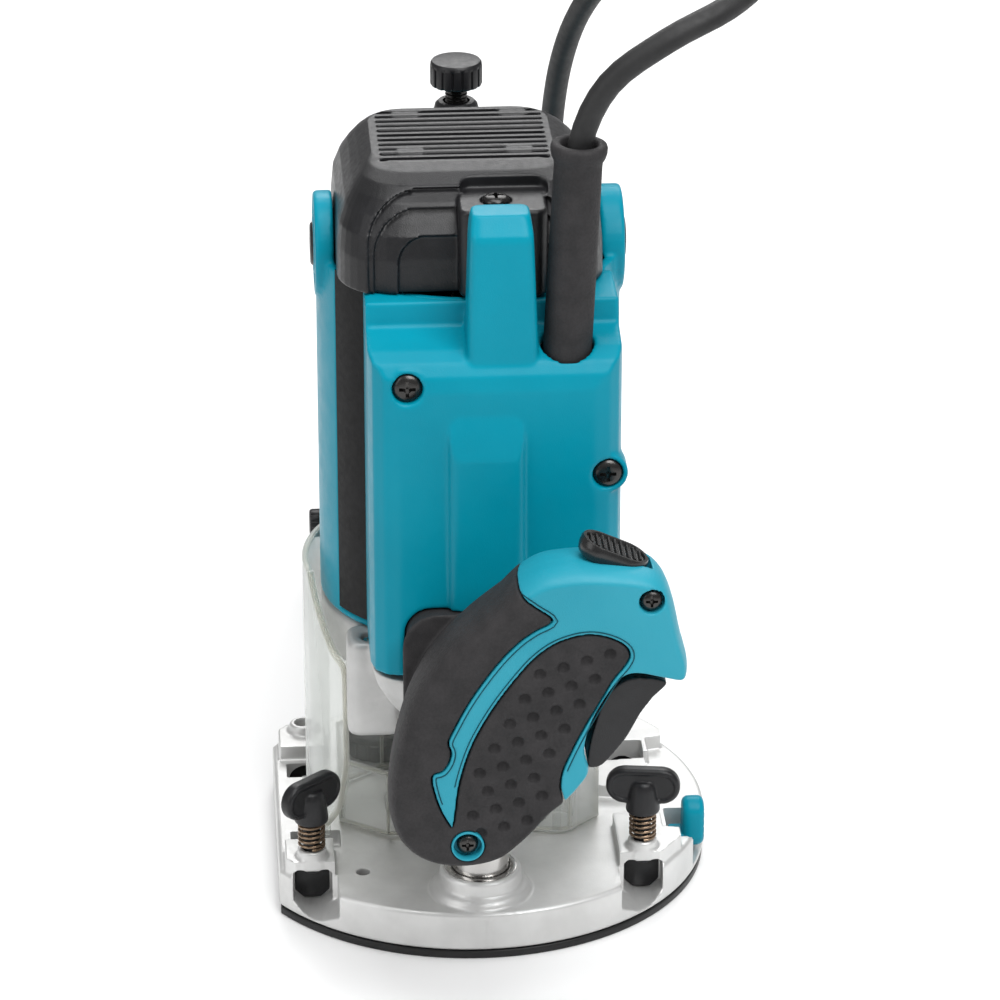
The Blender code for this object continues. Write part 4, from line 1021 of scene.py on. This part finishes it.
def handle_look(side, name):
    right = side > 0
    rubber = grip_solid()
    cut(rubber, prism(shell_zone(-0.25), 90, 200, "X"))
    join(rubber, neck(68.0 if right else 79.0))
    cut(rubber, rod(5.7, 130, 160, HANDLE_SCREWS[1], "X", 40), rod(14.2, 60, 170, (COLUMN_X, 0)))
    melted(rubber, 0.62, 5, 0.4)
    cut(rubber, dimples())

    shell = common(grip_solid(-0.1), prism(shell_zone(0.25), 90, 200, "X"))
    tools = [rod(4.3, 142.4, 160, HANDLE_SCREWS[0], "X", 32)]
    if right:
        for degrees in (0, 3, 6, 9):
            swung = [turned_about(point, TRIGGER_PIVOT, degrees) for point in smooth_outline(TRIGGER, 4)]
            tools.append(prism(inset(swung, -1.1), 117.6 - 0.02 * degrees, 143.0 + 0.02 * degrees, "X"))
        tools.append(prism(rounded(33.0, 52.5, 166, 200, 3), 121.5, 136.5, "X"))
    cut(shell, *tools)
    melted(shell, 0.55, 5, 0.4)

    ring = lathe([(5.5, 142), (5.5, 147.0), (5.3, 147.3), (4.9, 147.3), (4.75, 147.0), (4.7, 143.4),
                  (2.2, 143.2), (2.2, 142)], HANDLE_SCREWS[1], "X", 48, True)
    # Thin dark teal lines along the shell's rims: painted shade in the groove round the shell.
    seam_shade_lines = []
    for rim, first, last in ((BAND_FRONT, 3, 18), (PANEL_RIM, 1, 20)):
        line = inset(open_smooth(rim), -1.4)[4 * first:4 * last]
        seam_shade_lines.append(swept([(GRIP_OUT + 0.02, y, z) for y, z in line], 0.2, 6))
    seam_shade_lines = merged(seam_shade_lines)
    if not right:
        for obj in (rubber, shell, ring, seam_shade_lines):
            flipped(obj)
    piece("handle_rubber_" + name, rubber, "soft", "head",
          "grip_front_" + name, "grip_panel_" + name, sharp=60)
    piece("handle_shell_" + name, shell, "teal_grip", "head",
          "handle_inner_" + name, "handle_outer_" + name, sharp=60)
    piece("handle_ring_" + name, ring, "teal_grip", "head", slot="teal_plastic")
    piece("handle_seam_shade_" + name, seam_shade_lines, "teal_shadow", "head", slot="teal_plastic", sharp=80)


def trigger_look():
    shape = prism(smooth_outline(TRIGGER_LOOK, 6), 119.4, 142.4, "X")
    melted(shape, 0.4, 8, 0.4)
    stand_in("trigger", shape, "black", "trigger", sharp=50)


def lock_off_look():
    """An oval pad with a raised rim and nine ribs, leaning back on its stem."""
    pad = loft([(z, rounded(-x, x, -y, y, y - 0.1, 10)) for z, x, y in (
        (-2.6, 10.2, 6.0), (-1.6, 11.4, 7.0), (0.4, 12, 7.5), (2.6, 12.1, 7.6), (3.6, 11.6, 7.1),
        (3.6, 10.6, 6.2), (2.7, 10.2, 5.8))])
    join(pad, stack([(-13, -6.5, 6.5, -4.5, 4.5, 2), (-1, -5, 8, -4.5, 4.5, 2)]))
    for i in range(9):
        reach = 5.5 * math.sqrt(max(0.0, 1 - ((i - 4) * 2.2 / 10.4) ** 2)) + 0.3
        middle = 2.2 * (i - 4)
        outline = [(middle + u, 2.4 + v) for u, v in ((-0.75, 0), (0.75, 0), (0.3, 1.15), (-0.3, 1.15))]
        join(pad, prism(outline, -reach, reach, "Y"))
    moved(pad, ORIGIN, (131.5, 39.4, 177.2), (-24, "X"), (90, "Z"))
    piece("lock_off_look", pad, "gloss", "lock_off", "lock_off_button", sharp=40)


def screw_look(name, centre, level, axis, radius, depth):
    """A pan head with a cross recess and a washer-like flange."""
    profile = [(0.5, depth), (0.5, 2.3), (1.0, 2.3), (1.0, 1.5), (0.93, 1.0), (0.76, 0.45), (0.5, 0.12),
               (0.2, 0)]
    head = lathe([(radius * share, level - drop) for share, drop in profile], centre, axis, 40)
    tools = []
    for a, b in ((radius * 0.56, radius * 0.12), (radius * 0.12, radius * 0.56)):
        first, second = (centre[0] - a, centre[0] + a), (centre[1] - b, centre[1] + b)
        along = (level - 1.7, level + 2)
        tools.append(box(along, first, second) if axis == "X" else box(first, second, along))
    pit = [(radius * 0.05, level - 2.0), (radius * 0.26, level - 0.6), (radius * 0.28, level + 1)]
    tools.append(lathe(pit, centre, axis, 12))
    cut(head, *tools)
    stand_in(name, head, "dark_steel", "head", sharp=35)


# ---------------------------------------------------------------- cord

CORD_R = 4.25
COIL = (-224.0, 13.0)
CORD_ROUTE = (
    (67, 31.3, 238), (67, 32.2, 268), (67, 33.4, 297), (68.7, 42.8, 318.8), (68.6, 61.9, 333.4),
    (60.3, 82.7, 341.6), (40.6, 95.6, 345), (16.6, 96.3, 344.8), (-6.4, 89.5, 341.7), (-27.6, 79.6, 335.8),
    (-47.4, 68.9, 327), (-66, 59, 315.2), (-83.4, 51, 300.3), (-99.2, 45.2, 283), (-113.4, 41.6, 263.7),
    (-126, 39.8, 243.1), (-136.8, 39.3, 221.5), (-146, 39.7, 199.1), (-153.5, 41.8, 176.1),
    (-160.4, 44.6, 152.7), (-166.8, 48.6, 129.2), (-173.6, 53, 105.6), (-181, 58, 82), (-187, 61.6, 60.7),
    (-191.8, 63.4, 49.1), (-200.1, 64.9, 39.7), (-211, 65.9, 33.5), (-224, 66.3, 31.2),
)
OUTER_TURN, INNER_TURN = 53.3, 44.6
CORD_TOP, CORD_LOW, CORD_PITCH = 22.2, 4.6, 8.8
LAY_START, LIFTED = 31.2, 31.0
TURN_POINTS = 36
PLUG_ENTRY = (-220.3, -20.8, 35.7)
PLUG_TURN = 20.0
LAST_BEND = 36.0


def eased(share):
    """Runs from 0 to 1 with a soft start and a soft end."""
    share = min(max(share, 0.0), 1.0)
    return share * share * (3 - 2 * share)


def coil_points():
    """Three turns going down in an outer column, then three coming up in an inner one, then the plug."""
    made = []
    for i in range(1, 6 * TURN_POINTS + 1):
        turn = i / TURN_POINTS
        inward = eased((turn - 3.0) / 0.5)
        radius = OUTER_TURN + (INNER_TURN - OUTER_TURN) * inward
        if turn <= 3.0:
            level = LAY_START + (CORD_TOP - LAY_START) * eased(turn)
            level -= CORD_PITCH * (eased(turn - 1) + eased(turn - 2))
        else:
            level = CORD_LOW + CORD_PITCH * (eased(turn - 4) + eased(turn - 5))
        angle = math.radians(90 + 360 * turn)
        made.append((COIL[0] + radius * math.cos(angle), COIL[1] + radius * math.sin(angle), level))
    for i in range(1, 13):
        angle = math.radians(90 + 90 * i / 12)
        level = CORD_TOP + (LIFTED - CORD_TOP) * eased(i / 12)
        made.append((COIL[0] + INNER_TURN * math.cos(angle), COIL[1] + INNER_TURN * math.sin(angle), level))
    middle = COIL[0] - INNER_TURN + LAST_BEND
    for i in range(1, 17):
        angle = math.radians(180 + (90 + PLUG_TURN) * i / 16)
        level = LIFTED + (PLUG_ENTRY[2] - LIFTED) * eased(i / 16)
        made.append((middle + LAST_BEND * math.cos(angle), COIL[1] + LAST_BEND * math.sin(angle), level))
    return made


def cord(plug):
    """A round lead along its route, as one fixed shape."""
    points = [tuple(p) for p in smooth_path(CORD_ROUTE, 4)] + coil_points()
    lead = swept(points, CORD_R, 14)
    piece("mains_cord", lead, "cord", None, "cord_lead", "cord_coil", sharp=60)
    in_metres(CORD_ROUTE[2])
    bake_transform(lead)
    route = [in_metres(p) for p in points]
    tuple(route[0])


# ---------------------------------------------------------------- studio

CAMERA_AZIMUTH = 86.2
CAMERA_ELEVATION = 24.5
CAMERA_DISTANCE = 1.780
CAMERA_TARGET = (0.0, 0.0038, 0.1382)


def direction(azimuth, elevation):
    """The unit vector from the object towards a camera or a lamp at these angles."""
    a, e = math.radians(azimuth), math.radians(elevation)
    return Vector((math.sin(a) * math.cos(e), -math.cos(a) * math.cos(e), math.sin(e)))


def aimed(obj, azimuth, elevation, distance, target):
    towards = direction(azimuth, elevation)
    obj.location = Vector(target) + towards * distance
    obj.rotation_mode = "QUATERNION"
    obj.rotation_quaternion = (-towards).to_track_quat("-Z", "Y")
    bpy.context.scene.collection.objects.link(obj)


def camera():
    data = bpy.data.cameras.new("camera")
    data.lens = 180
    data.sensor_width = 36
    data.clip_start = 0.05
    data.clip_end = 30
    seen = bpy.data.objects.new("camera", data)
    aimed(seen, CAMERA_AZIMUTH, CAMERA_ELEVATION, CAMERA_DISTANCE, CAMERA_TARGET)
    bpy.context.scene.camera = seen


def lamp(name, azimuth, elevation, distance, size, power, tint=(1.0, 1.0, 1.0)):
    data = bpy.data.lights.new(name, "AREA")
    data.shape = "RECTANGLE"
    data.size, data.size_y = size
    data.energy = power
    data.color = tint
    aimed(bpy.data.objects.new(name, data), azimuth, elevation, distance, (0.0, 0.0, 0.12))


def studio():
    bm = bmesh.new()
    bmesh.ops.create_circle(bm, cap_ends=True, segments=64, radius=6.0)
    floor = new_object(bm, "floor")
    floor.data.materials.append(finish(*PAPER))

    world = bpy.data.worlds.new("studio")
    world.use_nodes = True
    settings(world.node_tree.nodes["Background"], Color=(1.0, 1.0, 1.0, 1.0), Strength=0.32)
    bpy.context.scene.world = world

    lamp("key", 116, 50, 1.5, (0.9, 0.9), 17)
    lamp("fill", 30, 28, 1.6, (0.8, 1.2), 6)
    lamp("top", 80, 84, 1.4, (1.0, 0.6), 10)
    lamp("back", 265, 40, 1.6, (1.2, 0.8), 13)
    bpy.context.scene.view_settings.view_transform = "Standard"


# ---------------------------------------------------------------- everything

camera()
cord(plug_look())
paint_kept()
base_look()
columns_look()
limit_look()
clamp_bolts_look()
turret_look()
lock_plate_look()
shields_look()
springs_look()
collet_look()
bracket_look()
housing_look()
cap_look()
cover_look()
guard_look()
left_controls_look()
handle_look(1, "right")
handle_look(-1, "left")
trigger_look()
lock_off_look()
for place_name, spot_yz in zip(("front", "rear"), COVER_SCREWS):
    screw_look("cover_screw_" + place_name, spot_yz, 78.6, "X", 5.0, 9.0)
for place_name, spot_yz in zip(("upper", "lower"), HANDLE_SCREWS):
    screw_look("handle_screw_" + place_name, spot_yz, GRIP_OUT - 0.6, "X", 3.6, 9.0)
screw_look("cap_screw", CAP_SCREW, 271.4, "Z", 4.6, 8.0)
studio()
